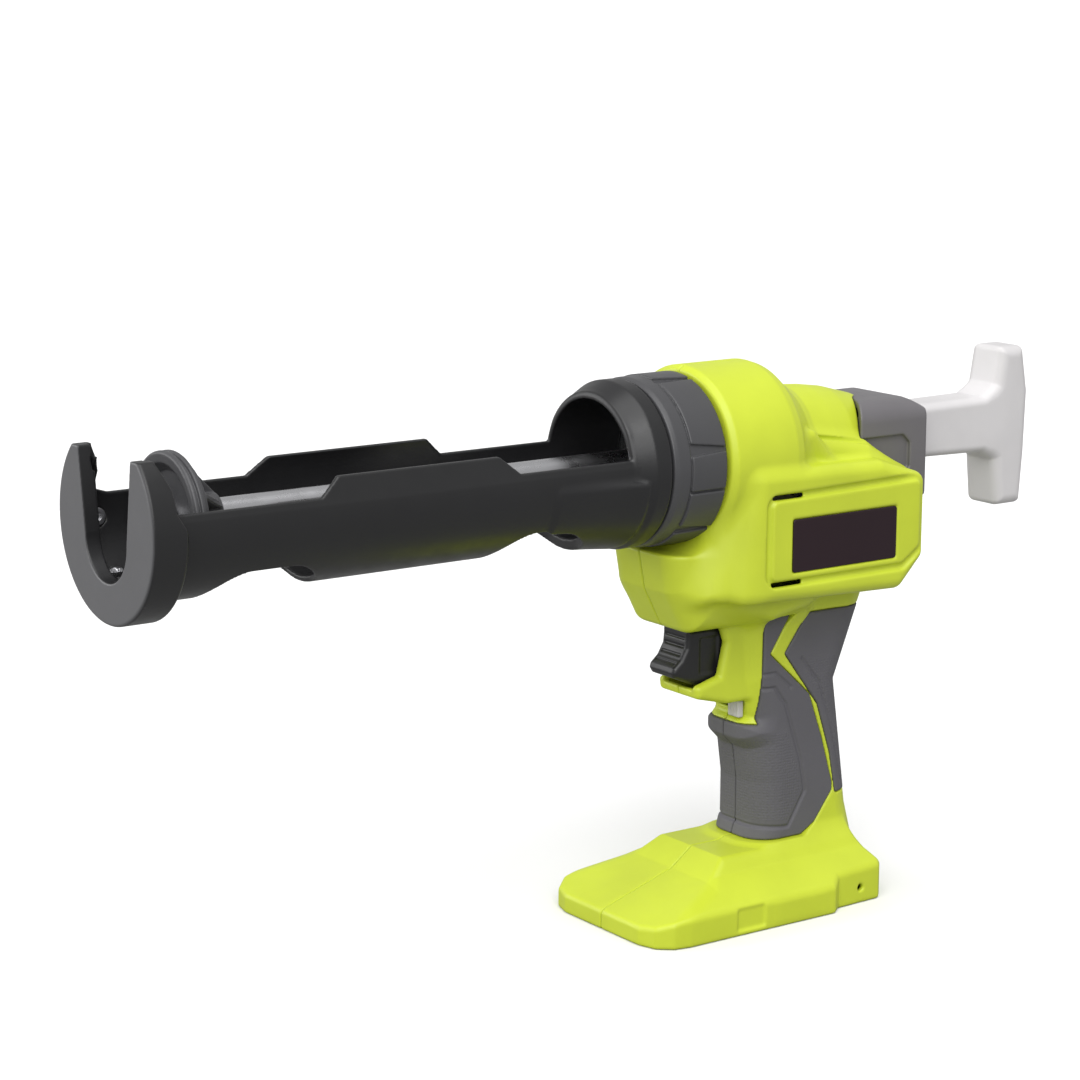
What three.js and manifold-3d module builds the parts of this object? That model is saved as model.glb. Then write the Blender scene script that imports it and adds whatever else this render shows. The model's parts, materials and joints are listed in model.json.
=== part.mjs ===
// Cordless caulking gun. Millimetres, +Z up.
// Every sub-part is drawn in the barrel frame: X runs along the push rod from the front
// retainer (x = 0) to the pull handle, Y is the width, and z = 0 is the rod's centre line.
// At the end all of them are shifted so that the origin is the bottom centre of the box.
import * as THREE from 'three';
import { mergeVertices } from 'three/addons/utils/BufferGeometryUtils.js';
import Module from 'manifold-3d';

const wasm = await Module();
wasm.setup();

// Driving dimensions.
const GAP = 0.3;
const TUBE_R = 28.5;
const TUBE_IN = 26;
const RET_R = 35;
const RET_DEPTH = 14;
const RET_WALL = 5;
const LAND = 1;
const LAND_R = 24;
const PRONG_TOP = 25;
const EAR_TOP = 13;
const RIM_TOP = 6.3;
const HUB_FRONT = 204;
const HUB_REAR = 238;
const HUB_R = 32.5;
const SLEEVE_R = 29.2;
const COLLAR_X0 = 220.5;
const COLLAR_X1 = 246;
const COLLAR_R = 33.3;
const BODY_X0 = 246.5;
const WALL = 2.8;
const TUNNEL_END = 333;
const COVER_END = 357;
const FLOOR = -185;
const FOOT_HALF = 38;
const BOSS_HALF = 38;
const GRIP_HALF = 17;
const ROD_R = 5;
const ROD_X0 = 29.4;
const ROD_TRAVEL = 200;
const PISTON_X0 = 22.5;
const PISTON_R = 23.5;
const DISH = 3.2;
const CONE_END = 42.8;
const CONE_POCKET_END = 244.2;
const RACK_PITCH_Z = -3.2;
const MODULE = 1.25;
const ADDENDUM = 1.1;
const DEDENDUM = 1.4;
const TOOTH_PITCH = Math.PI * MODULE;
const PINION_TEETH = 14;
const WHEEL_TEETH = 30;
const IDLER_SMALL = 12;
const IDLER_LARGE = 28;
const MOTOR_TEETH = 10;
const DRIVE = { x: 272, z: RACK_PITCH_Z - (PINION_TEETH * MODULE) / 2 };
const MOTOR = { x: 316, z: -31 };
const MOTOR_R = 18;
const TOTAL_LENGTH = 425;
const SHIFT = { x: -TOTAL_LENGTH / 2, y: 0, z: -FLOOR };

const DEG = Math.PI / 180;
const CURVE = 4;

// Finishes: colour, roughness, metalness.
const FINISH = {
  lime: [0xbfd62f, 0.42, 0],
  rubber: [0x57555b, 0.8, 0],
  coverGrey: [0x6b6a6e, 0.55, 0],
  black: [0x2a2a2b, 0.45, 0],
  collar: [0x3c3c3e, 0.5, 0],
  handle: [0xc9c7c7, 0.45, 0],
  steel: [0xc4c6c8, 0.25, 1],
  plate: [0x2a2024, 0.35, 0],
  buttonGrey: [0xb9b8b4, 0.5, 0],
  nylon: [0xe3ddcb, 0.6, 0],
  motor: [0x8d9093, 0.4, 1],
  board: [0x1f5a36, 0.6, 0],
  brass: [0xc7a252, 0.35, 1],
};

const group = new THREE.Group();
group.name = 'caulking_gun';

// ---- helpers ----

// Turns a geometry into a closed solid that faces out.
function solid(geometry) {
  const plain = geometry.clone();
  plain.deleteAttribute('normal');
  plain.deleteAttribute('uv');
  const merged = mergeVertices(plain, 1e-4);
  const pos = merged.attributes.position;
  const raw = merged.index.array;
  const tris = [];
  for (let i = 0; i < raw.length; i += 3) {
    const [a, b, c] = [raw[i], raw[i + 1], raw[i + 2]];
    if (a !== b && b !== c && c !== a) tris.push(a, b, c);
  }
  let volume = 0;
  const va = new THREE.Vector3();
  const vb = new THREE.Vector3();
  const vc = new THREE.Vector3();
  for (let i = 0; i < tris.length; i += 3) {
    va.fromBufferAttribute(pos, tris[i]);
    vb.fromBufferAttribute(pos, tris[i + 1]);
    vc.fromBufferAttribute(pos, tris[i + 2]);
    volume += va.dot(vb.cross(vc));
  }
  if (volume < 0) tris.reverse();
  return new wasm.Manifold(new wasm.Mesh({
    numProp: 3,
    vertProperties: new Float32Array(pos.array),
    triVerts: new Uint32Array(tris),
  }));
}

function shapeOf(points) {
  return new THREE.Shape(points.map(([a, b]) => new THREE.Vector2(a, b)));
}

function extrudeOptions(depth, bevel) {
  if (!bevel) return { depth, bevelEnabled: false, curveSegments: CURVE };
  return {
    depth: depth - 2 * bevel.thick,
    bevelEnabled: true,
    bevelThickness: bevel.thick,
    bevelSize: bevel.size,
    bevelOffset: -bevel.size - (bevel.inset ?? 0),
    bevelSegments: bevel.segments ?? 2,
    curveSegments: CURVE,
  };
}

// Outline in X and Z, extruded along Y from y0 to y1.
function alongY(shape, y0, y1, bevel) {
  const geometry = new THREE.ExtrudeGeometry(shape, extrudeOptions(y1 - y0, bevel));
  geometry.rotateX(Math.PI / 2);
  geometry.translate(0, y1 - (bevel ? bevel.thick : 0), 0);
  return solid(geometry);
}

// Outline in Y and Z, extruded along X from x0 to x1.
function alongX(shape, x0, x1, bevel) {
  const geometry = new THREE.ExtrudeGeometry(shape, extrudeOptions(x1 - x0, bevel));
  const start = x0 + (bevel ? bevel.thick : 0);
  geometry.applyMatrix4(new THREE.Matrix4().set(0, 0, 1, start, 1, 0, 0, 0, 0, 1, 0, 0, 0, 0, 0, 1));
  return solid(geometry);
}

// Outline in X and Y, extruded along Z from z0 to z1.
function alongZ(shape, z0, z1, bevel) {
  const geometry = new THREE.ExtrudeGeometry(shape, extrudeOptions(z1 - z0, bevel));
  geometry.translate(0, 0, z0 + (bevel ? bevel.thick : 0));
  return solid(geometry);
}

// Profile of [x, radius] pairs turned about the rod's axis.
function turned(profile, segments = 32) {
  const points = profile.map(([x, r]) => new THREE.Vector2(r, x));
  const geometry = new THREE.LatheGeometry(points, segments);
  geometry.rotateZ(-Math.PI / 2);
  return solid(geometry);
}

// The same, with the profile joined back to its first point, for rings.
function ring(profile, segments = 32) {
  return turned([...profile, profile[0]], segments);
}

function box(x0, x1, y0, y1, z0, z1) {
  const geometry = new THREE.BoxGeometry(x1 - x0, y1 - y0, z1 - z0);
  geometry.translate((x0 + x1) / 2, (y0 + y1) / 2, (z0 + z1) / 2);
  return solid(geometry);
}

function cylY(r, x, z, y0, y1, segments = 20) {
  const geometry = new THREE.CylinderGeometry(r, r, y1 - y0, segments);
  geometry.translate(x, (y0 + y1) / 2, z);
  return solid(geometry);
}

function cylX(r, x0, x1, segments = 24, y = 0, z = 0) {
  const geometry = new THREE.CylinderGeometry(r, r, x1 - x0, segments);
  geometry.rotateZ(Math.PI / 2);
  geometry.translate((x0 + x1) / 2, y, z);
  return solid(geometry);
}

function cylZ(r, x, y, z0, z1, segments = 20) {
  const geometry = new THREE.CylinderGeometry(r, r, z1 - z0, segments);
  geometry.rotateX(Math.PI / 2);
  geometry.translate(x, y, (z0 + z1) / 2);
  return solid(geometry);
}

function join(first, ...rest) {
  return rest.reduce((sum, next) => sum.add(next), first);
}

function cut(base, ...tools) {
  return tools.reduce((left, tool) => left.subtract(tool), base);
}

// The biggest piece of a body, without the slivers that a cut may leave.
function largest(body) {
  const pieces = body.decompose();
  return pieces.reduce((best, piece) => (piece.volume() > best.volume() ? piece : best), pieces[0]);
}

function roundedRect(a0, a1, b0, b1, r) {
  const shape = new THREE.Shape();
  shape.moveTo(a0 + r, b0);
  shape.lineTo(a1 - r, b0);
  shape.absarc(a1 - r, b0 + r, r, -Math.PI / 2, 0);
  shape.lineTo(a1, b1 - r);
  shape.absarc(a1 - r, b1 - r, r, 0, Math.PI / 2);
  shape.lineTo(a0 + r, b1);
  shape.absarc(a0 + r, b1 - r, r, Math.PI / 2, Math.PI);
  shape.lineTo(a0, b0 + r);
  shape.absarc(a0 + r, b0 + r, r, Math.PI, 1.5 * Math.PI);
  return shape;
}

// Adds one named sub-part to the object.
function add(name, body, finish) {
  const mesh = body.translate([SHIFT.x, SHIFT.y, SHIFT.z]).asOriginal().simplify(0.01).getMesh();
  const geometry = new THREE.BufferGeometry();
  const verts = new Float32Array((mesh.vertProperties.length / mesh.numProp) * 3);
  for (let i = 0, k = 0; i < mesh.vertProperties.length; i += mesh.numProp, k += 3) {
    verts[k] = mesh.vertProperties[i];
    verts[k + 1] = mesh.vertProperties[i + 1];
    verts[k + 2] = mesh.vertProperties[i + 2];
  }
  geometry.setAttribute('position', new THREE.BufferAttribute(verts, 3));
  geometry.setIndex(new THREE.BufferAttribute(new Uint32Array(mesh.triVerts), 1));
  geometry.computeVertexNormals();
  const [color, roughness, metalness] = FINISH[finish];
  const material = new THREE.MeshStandardMaterial({ color, roughness, metalness });
  material.name = finish;
  const node = new THREE.Mesh(geometry, material);
  node.name = name;
  group.add(node);
}

// ---- carriage: the half-tube that holds the cartridge, with its hub ----

const BAY_SCREWS = [-5, 185, 235, 305];

function troughArc(radius, steps) {
  const points = [];
  for (let i = 0; i <= steps; i += 1) {
    const angle = (55 - (290 * i) / steps) * DEG;
    points.push([radius * Math.cos(angle), radius * Math.sin(angle)]);
  }
  return points;
}

function carriageTrough() {
  const section = shapeOf([...troughArc(TUBE_R, 22), ...troughArc(TUBE_IN, 22).reverse()]);
  const tube = alongX(section, RET_WALL + GAP, HUB_FRONT + 3);
  const aboveRim = alongY(shapeOf([
    [0, 21], [12, 21], [14.5, RIM_TOP], [70, RIM_TOP], [78, EAR_TOP], [146, EAR_TOP],
    [154, RIM_TOP], [HUB_FRONT + 0.5, RIM_TOP], [HUB_FRONT + 0.5, 40], [0, 40],
  ]), -40, 40);
  const frontWindow = alongZ(roundedRect(30, 76, -22, 22, 15), -40, -5);
  const rearWindow = alongZ(roundedRect(150, 192, -22, 22, 15), -40, -5);
  const hub = ring([
    [HUB_FRONT, TUBE_IN + 1], [HUB_FRONT + 0.6, 29.6], [HUB_FRONT + 3, 31.6], [HUB_FRONT + 6, HUB_R],
    [COLLAR_X0 - 1.2, HUB_R], [COLLAR_X0 - 1.2, SLEEVE_R], [HUB_REAR, SLEEVE_R],
    [HUB_REAR, TUBE_IN], [HUB_FRONT + 1, TUBE_IN],
  ], 32);
  const hood = ring([[172, TUBE_R - 1], [196, 30.4], [HUB_FRONT + 4, 31.6], [HUB_FRONT + 4, TUBE_R - 1]], 32);
  const lowerHood = cut(hood, box(165, 215, -40, 40, -2, 40));
  const lowerPart = cut(tube, aboveRim).add(lowerHood);
  const body = cut(lowerPart, frontWindow, rearWindow).add(hub);
  return cut(body, ...BAY_SCREWS.map((angle) => bayScrewHole(angle)));
}

function turnedAboutX(body, angle) {
  return body.rotate([angle, 0, 0]);
}

function bayScrewHole(angle) {
  const pocket = cylY(3.7, 10, 0, 24, 27.3, 16);
  const hole = cylY(1.9, 10, 0, 25, 32.4, 12);
  return turnedAboutX(pocket.add(hole), angle);
}

function bayScrew(angle) {
  const head = cylY(3.2, 10, 0, 25.4, 27, 16);
  const socket = cylY(1.4, 10, 0, 24, 26.3, 6);
  const shank = cylY(1.5, 10, 0, 26.6, 32, 12);
  return turnedAboutX(cut(head.add(shank), socket), angle);
}

// ---- front retainer: the slotted cap at the front of the bay ----

function frontRetainer() {
  const outline = ring([
    [0, 0], [0, RET_R - 1.2], [1.2, RET_R], [RET_DEPTH - 1.4, RET_R], [RET_DEPTH, RET_R - 1.4],
    [RET_DEPTH, TUBE_R + GAP], [RET_WALL, TUBE_R + GAP], [RET_WALL, LAND_R],
    [RET_WALL + LAND, LAND_R], [RET_WALL + LAND, 0],
  ], 40);
  const slot = new THREE.Shape();
  slot.moveTo(-19, PRONG_TOP + 12);
  slot.lineTo(-19, PRONG_TOP);
  slot.lineTo(-15, -5);
  slot.absarc(0, -5, 15, Math.PI, 2 * Math.PI);
  slot.lineTo(19, PRONG_TOP);
  slot.lineTo(19, PRONG_TOP + 12);
  const flatTop = box(-1, 20, -40, 40, PRONG_TOP, 50);
  const gapAbove = box(4.9, 20, -21, 21, 18, 50);
  const backSlope = alongY(shapeOf([
    [6.2, 30], [6.5, 24], [9.4, 16], [9.8, 8], [14.5, 0], [20, 0], [20, 30],
  ]), -40, 40);
  const body = cut(outline, alongX(slot, -1, 8), flatTop, gapAbove, backSlope);
  return cut(body, ...BAY_SCREWS.map((angle) => bayScrewHole(angle)));
}

// ---- locking collar and barrel mount ----

const PADS = 6;
const PAD_START = 49.5;
const PAD_SPAN = 51.5;

function lockingCollar() {
  const body = ring([
    [COLLAR_X0, SLEEVE_R + GAP], [COLLAR_X0, COLLAR_R - 1.6], [COLLAR_X0 + 1, COLLAR_R - 0.8],
    [COLLAR_X1 - 1, COLLAR_R - 0.8], [COLLAR_X1, COLLAR_R - 1.4], [COLLAR_X1, SLEEVE_R + GAP],
  ], 36);
  let result = body;
  for (let i = 0; i < PADS; i += 1) {
    const pad = cut(
      ring([
        [COLLAR_X0 + 8, 31], [COLLAR_X0 + 8, COLLAR_R - 0.4], [COLLAR_X0 + 9, COLLAR_R],
        [COLLAR_X1 - 1.6, COLLAR_R], [COLLAR_X1 - 1, 31],
      ], 36),
      box(200, 260, -50, 50, -50, 0),
      turnedAboutX(box(200, 260, -50, 50, 0, 50), PAD_SPAN),
    );
    result = result.add(turnedAboutX(pad, i * 60 + PAD_START));
  }
  return result;
}

// The pocket takes the piston's cone when the rod is drawn right back.
function barrelMount() {
  return cut(
    turned([
      [HUB_REAR + GAP, 0], [HUB_REAR + GAP, SLEEVE_R - 0.5], [COLLAR_X1 + 3.6, SLEEVE_R - 0.5],
      [COLLAR_X1 + 3.6, SLEEVE_R + 2], [COLLAR_X1 + 6, SLEEVE_R + 2], [COLLAR_X1 + 6, 9],
      [COLLAR_X1 + 10, 9], [COLLAR_X1 + 10, 0],
    ], 40),
    cylX(7.4, 230, 260),
    cylX(12.5, 230, CONE_POCKET_END),
  );
}

function rodBush(x0, x1, outer) {
  return cut(cylX(outer, x0, x1, 24), cylX(ROD_R + GAP, x0 - 1, x1 + 1, 24));
}

// ---- rod, piston and pull handle ----

function toothShape(root, tip, teeth, phase) {
  const pitchR = (teeth * MODULE) / 2;
  const points = [];
  const half = (TOOTH_PITCH / 2 - 0.4) / 2;
  for (let i = 0; i < teeth; i += 1) {
    const middle = phase + (i * 2 * Math.PI) / teeth;
    const atRoot = (half + 0.38) / pitchR;
    const atTip = (half - 0.42) / pitchR;
    points.push([root * Math.cos(middle - atRoot), root * Math.sin(middle - atRoot)]);
    points.push([tip * Math.cos(middle - atTip), tip * Math.sin(middle - atTip)]);
    points.push([tip * Math.cos(middle + atTip), tip * Math.sin(middle + atTip)]);
    points.push([root * Math.cos(middle + atRoot), root * Math.sin(middle + atRoot)]);
  }
  return points;
}

// A spur gear about an axis along Y at (x, z); phase is the angle of one tooth from +X to +Z.
function spurGear(teeth, phase, centre, y0, y1) {
  const pitchR = (teeth * MODULE) / 2;
  const outline = toothShape(pitchR - DEDENDUM, pitchR + ADDENDUM, teeth, phase);
  return alongY(shapeOf(outline.map(([a, b]) => [centre.x + a, centre.z + b])), y0, y1);
}

function meshingCentre() {
  const ab = ((WHEEL_TEETH + IDLER_SMALL) * MODULE) / 2;
  const bm = ((IDLER_LARGE + MOTOR_TEETH) * MODULE) / 2;
  const dx = MOTOR.x - DRIVE.x;
  const dz = MOTOR.z - DRIVE.z;
  const span = Math.hypot(dx, dz);
  const along = (ab * ab - bm * bm + span * span) / (2 * span);
  const drop = Math.sqrt(ab * ab - along * along);
  return {
    x: DRIVE.x + (dx * along + dz * drop) / span,
    z: DRIVE.z + (dz * along - dx * drop) / span,
  };
}

const IDLER = meshingCentre();
const WHEEL_TO_IDLER = Math.atan2(IDLER.z - DRIVE.z, IDLER.x - DRIVE.x);
const IDLER_TO_MOTOR = Math.atan2(MOTOR.z - IDLER.z, MOTOR.x - IDLER.x);

function driveGear() {
  const pinion = spurGear(PINION_TEETH, Math.PI / 2 + Math.PI / PINION_TEETH, DRIVE, -3.6, 3.6);
  const wheel = spurGear(WHEEL_TEETH, WHEEL_TO_IDLER, DRIVE, 13, 18);
  const axle = cylY(3, DRIVE.x, DRIVE.z, -12, 26.6, 20);
  return join(pinion, wheel, axle);
}

function idlerGear() {
  const gapAngle = WHEEL_TO_IDLER + Math.PI + Math.PI / IDLER_SMALL;
  const small = spurGear(IDLER_SMALL, gapAngle, IDLER, 12.6, 19);
  const large = spurGear(IDLER_LARGE, IDLER_TO_MOTOR, IDLER, 19, 23);
  return join(small, large, cylY(2.4, IDLER.x, IDLER.z, 8, 26.6, 16));
}

function motorShaft() {
  const gapAngle = IDLER_TO_MOTOR + Math.PI + Math.PI / MOTOR_TEETH;
  return join(
    spurGear(MOTOR_TEETH, gapAngle, MOTOR, 18.6, 23.6),
    cylY(1.6, MOTOR.x, MOTOR.z, -20, 24.6, 16),
  );
}

function motorCan() {
  const shell = cylY(MOTOR_R, MOTOR.x, MOTOR.z, -33, 12, 32).add(cylY(6, MOTOR.x, MOTOR.z, 11, 14.5, 20));
  return cut(shell, cylY(1.9, MOTOR.x, MOTOR.z, -21, 20, 16));
}

function gearFrame() {
  const plates = join(
    alongY(shapeOf([[259, -42], [259, 8], [296, 8], [296, -42]]), -12, -9.2),
    alongY(shapeOf([[259, -46], [259, 8], [292, 8], [292, -46]]), 8.6, 11.2),
    alongY(shapeOf([[259, -46], [259, -1], [284, -1], [284, -10], [298, -10], [298, -46]]), 24.2, 25.2),
    box(259, 296, -12, 11.2, 8, 10.4),
    box(259, 266, 8.6, 25.2, -46, -43.4),
    box(259, 292, -12, 11.2, -46, -43.4),
  );
  return cut(
    plates,
    cylY(3.3, DRIVE.x, DRIVE.z, -20, 40, 20),
    cylY(2.7, IDLER.x, IDLER.z, 0, 40, 16),
  );
}

function rackRod() {
  const first = DRIVE.x - ROD_TRAVEL - 2 * TOOTH_PITCH;
  const start = DRIVE.x - Math.ceil((DRIVE.x - first) / TOOTH_PITCH) * TOOTH_PITCH;
  const half = (TOOTH_PITCH / 2 - 0.4) / 2;
  const rootZ = RACK_PITCH_Z + DEDENDUM - 0.1;
  const tipZ = RACK_PITCH_Z - ADDENDUM - 1;
  const comb = [];
  const last = Math.round((DRIVE.x + 3 * TOOTH_PITCH - start) / TOOTH_PITCH);
  comb.push([start + half + 0.2, -9]);
  for (let i = 0; i < last; i += 1) {
    const left = start + i * TOOTH_PITCH;
    const right = left + TOOTH_PITCH;
    comb.push([left + half - 0.42, tipZ]);
    comb.push([left + half + 0.42, rootZ]);
    comb.push([right - half - 0.42, rootZ]);
    comb.push([right - half + 0.42, tipZ]);
  }
  comb.push([start + last * TOOTH_PITCH - half - 0.2, -9]);
  const bar = turned([
    [ROD_X0, 0], [ROD_X0, 4.4], [ROD_X0 + 0.6, ROD_R], [404, ROD_R], [404, 0],
  ], 14);
  const flat = box(ROD_X0 + 4, 345, -8, 8, -8, RACK_PITCH_Z - ADDENDUM);
  return cut(bar, alongY(shapeOf(comb), -8, 8), flat, cylX(2.3, ROD_X0 - 1, ROD_X0 + 14, 12));
}

function piston() {
  const x = PISTON_X0;
  const disc = turned([
    [x + DISH, 0], [x + DISH, 16.5], [x, 19.5], [x, PISTON_R - 0.8], [x + 0.8, PISTON_R],
    [x + 1.9, PISTON_R], [x + 2.1, PISTON_R - 1], [x + 2.7, PISTON_R - 1], [x + 2.9, PISTON_R],
    [x + 4.4, PISTON_R], [x + 4.9, PISTON_R - 0.6], [x + 4.9, 20.5], [ROD_X0, 20.5],
    [CONE_END, 6.8], [CONE_END, 0],
  ], 28);
  return cut(disc, cylX(2.6, x - 1, x + 20, 12), cylX(ROD_R + GAP, ROD_X0 - 0.4, CONE_END + 1, 24));
}

function pistonScrew() {
  const x = PISTON_X0 + DISH - GAP;
  return cut(join(cylX(5.4, x - 3.2, x, 6), cylX(2, x - 1, x + 17, 12)), cylX(1.4, x - 4, x - 1.4, 6));
}

function pullHandle() {
  const neckStart = COVER_END + GAP;
  const shape = shapeOf([
    [neckStart, -9.3], [402, -10.8], [406.5, -16], [408.6, -35.6], [422.6, -35.6], [424.2, -14],
    [TOTAL_LENGTH, 12], [421.6, 31], [409, 31], [406, 17], [400, 9.4], [neckStart, 8.9],
  ]);
  const body = alongY(shape, -10, 10, { size: 3, thick: 4, segments: 3 });
  return cut(body, cylX(ROD_R + GAP, 340, 404.4, 24));
}

// ---- housing ----

function hump(inset) {
  const x0 = BODY_X0 + (inset ? WALL : 0);
  return turned([
    [x0, 0], [x0, 33.6 - inset], [x0 + 2.4, 35.5 - inset], [278, 35.5 - inset], [282, 34.2 - inset],
    [293, 25.4 - inset], [297, 23.8 - inset], [308, 23 - inset], [318, 21.6 - inset],
    [TUNNEL_END + (inset ? 5 : 0), 17.6 - inset], [TUNNEL_END + (inset ? 5 : 0), 0],
  ], 32);
}

function shoulder(inset) {
  return alongY(shapeOf([
    [BODY_X0 + 0.4, -54], [BODY_X0 + 0.4, 8], [285, 8], [322, 2], [342, -10], [342, -48], [275, -64],
  ]), -28 + inset, 28 - inset, { size: 5, thick: 5, inset, segments: 2 });
}

function boss(inset) {
  return alongY(shapeOf([
    [249, -2], [320, -3.4], [343, -11], [343, -44], [331, -56.4], [249, -54],
  ]), -BOSS_HALF + inset, BOSS_HALF - inset, { size: 6, thick: 6, inset, segments: 2 });
}

function nose(inset) {
  return alongY(shapeOf([
    [225.5, -20], [231, -50], [240, -67], [300, -67.5], [300, -20],
  ]), -23 + inset, 23 - inset, { size: 13, thick: 13, inset, segments: 3 });
}

// The nose stops below the locking collar.
function noseBelow(inset) {
  return nose(inset).intersect(box(200, 320, -60, 60, -80, -34.6 - inset));
}

function grip(inset) {
  return alongY(shapeOf([
    [266, -46], [270.5, -92], [277.5, -122], [278.5, -148], [270, -178], [336, -178], [327.5, -148],
    [320, -96], [340, -46],
  ]), -GRIP_HALF + inset, GRIP_HALF - inset, { size: 10, thick: 11, inset, segments: 3 });
}

function bezel(inset) {
  return alongY(shapeOf([
    [256, -56], [262.4, -74], [259.4, -87], [248, -90.2], [248.6, -95], [264, -99], [290, -99], [290, -56],
  ]), -13 + inset, 13 - inset, { size: 2.5, thick: 3, inset, segments: 2 });
}

function foot(inset) {
  const plan = shapeOf([
    [211.5, -24], [214, -32], [220, -36.8], [227, -FOOT_HALF], [300, -FOOT_HALF], [305, -34], [327, -33],
    [330, -30], [330, 30], [327, 33], [305, 34], [300, FOOT_HALF], [227, FOOT_HALF], [220, 36.8], [214, 32],
    [211.5, 24],
  ]);
  const bevel = inset ? { size: 0.01, thick: 0.01, inset } : null;
  const slab = alongZ(plan, FLOOR + (inset ? 5 : 0), -150 - inset, bevel);
  const side = alongY(shapeOf([
    [205, -190], [205, -181], [211.5, -177], [246, -166], [256, -158.5], [322, -158.5], [331, -172],
    [331, -190],
  ]), -60, 60, bevel);
  const front = alongX(shapeOf([
    [-50, -195], [-50, -176], [-38, -173.4], [-24, -164], [-18, -155], [18, -155], [24, -164], [38, -173.4],
    [50, -176], [50, -195],
  ]), 190, 350, bevel);
  return slab.intersect(side).intersect(front);
}

const HOUSING_SCREWS = [
  { x: 248, z: -48, half: 17 }, { x: 333.5, z: -46.5, half: 36 }, { x: 266, z: 24, half: 24 },
  { x: 312, z: 13.5, half: 15 }, { x: 301, z: -111, half: 14 }, { x: 226, z: -178, half: 32 },
];

function screwBosses() {
  return HOUSING_SCREWS.map(({ x, z }) => cylY(4.4, x, z, -50, 50, 12));
}

function screwHoles() {
  return HOUSING_SCREWS.map(({ x, z, half }) => join(
    cylY(1.9, x, z, -half + 6, half + 20, 12),
    cylY(3.4, x, z, half - 5, half + 20, 16),
  ));
}

function housingScrew({ x, z, half }) {
  return cut(
    join(cylY(3, x, z, half - 4.6, half - 2.2, 16), cylY(1.5, x, z, -half + 6.6, half - 4, 12)),
    cylY(1.3, x, z, half - 3.4, half, 6),
  );
}

// Rear edge of the tunnel: a shallow V in plan that the rear cover follows.
function tunnelCut(extra) {
  return alongZ(shapeOf([
    [TUNNEL_END - extra, 0], [TUNNEL_END - 14.5 - extra, -26], [TUNNEL_END - 14.5 - extra, -27.9],
    [400, -27.9], [400, 27.9], [TUNNEL_END - 14.5 - extra, 27.9], [TUNNEL_END - 14.5 - extra, 26],
  ]), -30, 60);
}

function coverOutline(inset) {
  const arch = shapeOf([
    [-22, -26], [-22, 6], [-20.5, 11.5], [-16, 15.6], [-10, 17], [10, 17], [16, 15.6], [20.5, 11.5],
    [22, 6], [22, -26],
  ]);
  const side = shapeOf([
    [312, -3.5], [312, 17.5], [348, 17.5], [355, 15], [COVER_END, 9], [COVER_END, -24], [344, -24],
    [343.4, -14],
    [338.4, -7.8], [322, -3.2],
  ]);
  const bevel = inset ? { size: 0.01, thick: 0.01, inset } : null;
  return alongX(arch, 300, 400, bevel).intersect(alongY(side, -40, 40, bevel));
}

function coverBay() {
  const side = shapeOf([
    [310, -3.5], [310, 60], [400, 60], [400, -30], [343.1, -30], [343.1, -14.4], [338.4, -8.2], [322, -3.5],
  ]);
  return alongY(side, -22.3, 22.3).intersect(tunnelCut(0));
}

function rearCover() {
  const outer = coverOutline(0).intersect(tunnelCut(-GAP));
  const reach = box(300, 352, -40, 40, -40, 40);
  const inner = coverOutline(WALL).intersect(tunnelCut(-GAP - WALL - 6)).intersect(reach);
  return cut(
    cut(outer, inner.intersect(box(300, 360, -40, 40, -1, 40))),
    cylX(7.4, 300, 380),
  );
}

// Everything that opens the shell from outside, or makes room for what is in it.
function housingOpenings() {
  return [
    cylX(SLEEVE_R - 0.2, 240, 250, 40),
    cylX(SLEEVE_R + 2.3, 249, 253, 40),
    tunnelCut(0).intersect(box(300, 400, -30, 30, -3.2, 60)),
    coverBay(),
    cylX(8, 300, 345),
    triggerPocket(),
    lockWindow(),
    alongZ(roundedRect(284, 320, -14, 14, 4), -190, -122),
    alongZ(roundedRect(219, 323, -30, 30, 5), -190, FLOOR + WALL),
    dialPocket(),
    ...vents(),
    ...labelPockets(),
    ...sidePads(),
  ];
}

function triggerPocket() {
  return alongY(shapeOf([
    [230, -67.6], [284.6, -67.6], [284.6, -88.4], [272.4, -88.4], [271.8, -92], [256, -92], [240, -90],
    [230, -90],
  ]), -9, 9);
}

// The lock slide sits in a shallow window on the grip's front, just under the trigger guard.
const LOCK = { x: 271.9, floor: 274.9, z0: -106.6, z1: -99.6, y0: -9, y1: -2, travel: 6 };

function lockWindow() {
  const middle = (LOCK.z0 + LOCK.z1) / 2;
  const end = LOCK.y1 + LOCK.travel;
  const recess = box(262, LOCK.floor, LOCK.y0 - 0.6, end + 0.6, LOCK.z0 - 0.5, LOCK.z1 + 0.5);
  const stemSlot = box(LOCK.floor - 1, 284, LOCK.y0 + 1.6, end - 1.6, middle - 1.2, middle + 1.2);
  return recess.add(stemSlot);
}

function lockSlide() {
  const middle = (LOCK.z0 + LOCK.z1) / 2;
  const tab = alongX(
    roundedRect(LOCK.y0, LOCK.y1, LOCK.z0, LOCK.z1, 1),
    LOCK.x, LOCK.floor - GAP, { size: 0.6, thick: 0.6, segments: 1 },
  );
  const stem = box(LOCK.floor - 1, 281, LOCK.y0 + 2.3, LOCK.y1 - 2.3, middle - 0.8, middle + 0.8);
  return tab.add(stem);
}

function vents() {
  const slots = [];
  for (const side of [-1, 1]) {
    for (const z of [-13, -47]) {
      slots.push(box(265, 279, side * 40 - 6, side * 40 + 6, z - 0.7, z + 0.7));
    }
  }
  return slots;
}

const LABEL = { x0: 274, x1: 327, z0: -43, z1: -22 };

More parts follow.
